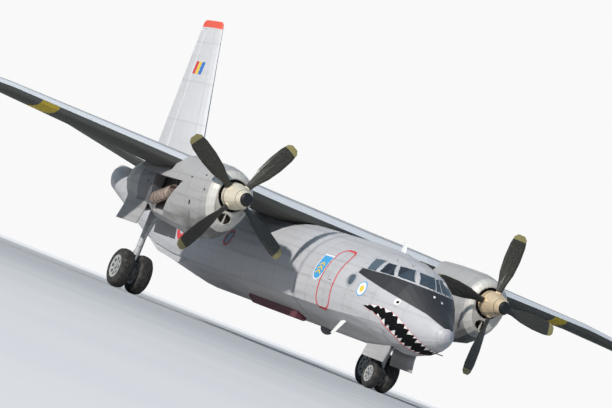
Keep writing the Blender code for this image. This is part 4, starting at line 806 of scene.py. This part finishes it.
# Exhaust pipes and the engines behind them: stainless steel tempered straw, rose and blue by the heat.
pipe = Finish("tempered_steel", roughness=0.42, metallic=0.65)
pipe_point, pipe_x, pipe_y, pipe_z = pipe.place()
heat = pipe.noise(pipe_point, 4.0, 6.0, (1, 2.5, 1))
pipe_colour = pipe.mix(heat.ramp(0.35, 0.65), (0.72, 0.56, 0.46), (0.42, 0.30, 0.24))
pipe_colour = pipe.mix((pipe_y - DATUM_Y).ramp(9.28, 9.42), pipe_colour, (0.03, 0.027, 0.025))
pipe_colour = pipe.mix((pipe_y - DATUM_Y).stripes(0.27, 0.02), pipe_colour, (0.16, 0.12, 0.10))
pipe.feed("Base Color", pipe_colour)
pipe.feed("Roughness", heat * 0.4 + 0.2)
pipe.bump(heat + (pipe_y - DATUM_Y).stripes(0.27, 0.02), 0.003, 0.5)
pipe.cover("exhaust_pipe_left", "exhaust_pipe_right", "jet_nozzle", "engine_block_left", "engine_block_right")


# Propellers: forged blades painted dark olive with dull yellow tips, in a spun metal spinner with a black cap.
BLADE_LENGTH, SPINNER_RADIUS, CAP_STATION = 1.95, 0.352, 5.13
blade = Finish("propeller_finish", roughness=0.4)
blade_point, blade_x, blade_y, blade_z = blade.place()
blade_u, blade_v, blade_station = abs(blade_x) - ENGINE_X, blade_z - SHAFT_Z, blade_y - DATUM_Y
reach = (blade_u * blade_u + blade_v * blade_v).math("SQRT")
on_spinner = reach.ramp(SPINNER_RADIUS + 0.003, SPINNER_RADIUS - 0.003)
scratches = blade.noise(blade_point, 18.0, 6.0, (1, 3, 1))
blade_colour = blade.mix(scratches.ramp(0.55, 0.8) * 0.6, (0.034, 0.032, 0.025), (0.16, 0.15, 0.125))
blade_colour = blade.mix(reach.ramp(BLADE_LENGTH * 0.92, BLADE_LENGTH * 0.925), blade_colour, (0.27, 0.235, 0.10))
spun = blade.mix(blade_station.stripes(0.045, 0.006) * 0.3 + scratches * 0.4, (0.95, 0.86, 0.68), (0.66, 0.56, 0.41))
cap = blade_station.ramp(CAP_STATION + 0.004, CAP_STATION - 0.004)
joint = blade_station.within(5.30, 5.315) + blade_station.within(5.78, 5.80)
burnished = blade_x.ramp(0.0, 0.1) * scratches.ramp(0.2, 0.6) * 0.55
spun = blade.mix(burnished, spun, (0.80, 0.50, 0.20))
spun = blade.mix(joint, spun, (0.05, 0.045, 0.04))
spun = blade.mix(cap, spun, (0.012, 0.012, 0.013))
blade.feed("Base Color", blade.mix(on_spinner, blade_colour, spun))
blade.feed("Metallic", on_spinner * (1 - cap) * 0.45)
blade.feed("Roughness", scratches * 0.25 + 0.22)
blade.bump(scratches, 0.001, 0.4)
blade.cover("propeller_left", "propeller_right")


# Tail: thin riveted fin and tailplanes with a red cap on the fin; the rudder has the fin's light paint.
tail = Finish("tail_skin", roughness=0.5)
tail_point, tail_x, tail_y, tail_z = tail.place()
tail_colour, _ = panelled(tail, tail_z, tail_y - DATUM_Y - tail_z * 0.53, (0.60, 0.60, 0.615), 0.5, 1.25, 1.6)
tail_colour = tail.mix(tail_z.ramp(8.34, 8.35), tail_colour, (0.72, 0.10, 0.06))
tail.feed("Base Color", tail_colour)
tail.cover("fin", "rudder")
plane = Finish("tailplane_skin", roughness=0.5)
plane.shader.inputs["Specular IOR Level"].default_value = 0.25
plane_point, plane_x, plane_y, plane_z = plane.place()
plane_colour, _ = panelled(plane, abs(plane_x), plane_y - DATUM_Y - abs(plane_x) * 0.41, (0.42, 0.425, 0.445), 0.9, 0.6, 0.5, 0.68)
plane_aft = plane_y - (DATUM_Y + 20.3) - abs(plane_x) * 0.41
# painted shade: the underside of the tailplanes is darkened to a near-black olive
plane_colour, _ = shade_facing_down(plane, plane_colour, plane_aft, 0.80)
plane.feed("Base Color", plane_colour)
plane.cover("tailplane_left", "tailplane_right", "elevator_left", "elevator_right")


# Landing gear: forged legs painted light grey over a chromed sliding tube, rubber tyres with ribbed treads
# on cast wheels held by a ring of bolts.
leg = Finish("leg_paint", roughness=0.4)
leg_point, leg_x, leg_y, leg_z = leg.place()
leg_wear = leg.noise(leg_point, 11.0, 6.0)
sliding = leg_z.within(0.63, 0.98, 0.003) * (leg_y - DATUM_Y).within(10.30, 10.50)
leg_colour = leg.mix(leg_wear.ramp(0.5, 0.75) * 0.6, (0.46, 0.47, 0.48), (0.14, 0.13, 0.11))
leg.feed("Base Color", leg.mix(sliding, leg_colour, (0.80, 0.80, 0.81)))
leg.feed("Metallic", sliding)
leg.feed("Roughness", 0.4 - sliding * 0.28 + leg_wear * 0.1)
leg.bump(leg_wear, 0.002, 0.3)
leg.cover("main_leg_left", "main_leg_right", "nose_leg", "nose_fork")


def wheel_finish(name, axle_station, radius, centres, rib, *nodes):
    """Rubber outside, cast metal inside, told apart by the distance from the axle."""
    finish = Finish(name, roughness=0.85)
    point, x, y, z = finish.place()
    u, v = y - (DATUM_Y + axle_station), z - radius
    from_axle = (u * u + v * v).math("SQRT")
    rubber = from_axle.ramp(0.585 * radius, 0.60 * radius)
    dust = finish.noise(point, 9.0, 6.0)
    tread = from_axle.ramp(0.955 * radius, 0.965 * radius)
    # painted shade: the tread grooves are darker than the rubber around them
    shaded_grooves = x.stripes(rib, rib * 0.28) * tread
    angle = v.math("ARCTAN2", u)
    blocks = angle.stripes(math.pi / 40, 0.02) * tread
    walls = from_axle.stripes(0.045 * radius, 0.008 * radius) * (1 - tread)
    # painted shade: the lightening holes in the cast wheel are near-black
    shaded_holes = angle.stripes(math.pi / 4, 0.30) * from_axle.within(0.30 * radius, 0.46 * radius, 0.01)
    tyre = finish.mix(dust.ramp(0.35, 0.75), (0.018, 0.018, 0.019), (0.075, 0.07, 0.062))
    tyre = finish.mix(shaded_grooves, tyre, (0.006, 0.006, 0.006))
    cast = finish.mix(dust.ramp(0.5, 0.8) * 0.6, (0.40, 0.41, 0.40), (0.12, 0.11, 0.10))
    cast = finish.mix(shaded_holes, cast, (0.02, 0.02, 0.02))
    finish.feed("Base Color", finish.mix(rubber, cast, tyre))
    finish.feed("Roughness", rubber * 0.35 + 0.45 + dust * 0.1)
    finish.bump(dust * 0.15 - shaded_grooves - blocks * 0.5 - walls * 0.4 - shaded_holes, 0.008, 0.8)
    finish.cover(*nodes)
    return finish


MAIN_AXLE, MAIN_RADIUS, MAIN_TYRE, MAIN_TRACK = 10.40, 0.525, 0.36, 0.27
NOSE_AXLE, NOSE_RADIUS, NOSE_TYRE, NOSE_TRACK = 2.75, 0.35, 0.22, 0.185
wheel_finish("main_wheel", MAIN_AXLE, MAIN_RADIUS, 2, 0.05, "main_wheels_left", "main_wheels_right")
wheel_finish("nose_wheel", NOSE_AXLE, NOSE_RADIUS, 2, 0.036, "nose_wheels")
# body, middle of the pair, axle station, radius, width, track
WHEELS = (
    ("main_wheels_left", 3.95, MAIN_AXLE, MAIN_RADIUS, MAIN_TYRE, MAIN_TRACK),
    ("main_wheels_right", -3.95, MAIN_AXLE, MAIN_RADIUS, MAIN_TYRE, MAIN_TRACK),
    ("nose_wheels", 0.0, NOSE_AXLE, NOSE_RADIUS, NOSE_TYRE, NOSE_TRACK),
)
BOLT_COUNT = 8
for body, middle_x, axle, radius, width, track in WHEELS:
    bolt_bm = bmesh.new()
    for side in (-1, 1):
        face = middle_x + side * (track + width * 0.375 + 0.004)
        parts = [((0, 0), radius * 0.17, 0.05)]
        for number in range(BOLT_COUNT):
            angle = 2 * math.pi * number / BOLT_COUNT
            parts.append(((radius * 0.24 * math.cos(angle), radius * 0.24 * math.sin(angle)), radius * 0.028, 0.03))
        for (u, v), size, depth in parts:
            bmesh.ops.create_cone(
                bolt_bm, cap_ends=True, segments=12, radius1=size, radius2=size * 0.8, depth=depth,
                matrix=Matrix.Translation(at(face, axle + u, radius + v)) @ Matrix.Rotation(side * math.pi / 2, 4, "Y"),
            )
    piece_of(f"{body}_bolts", bolt_bm, steel, body)
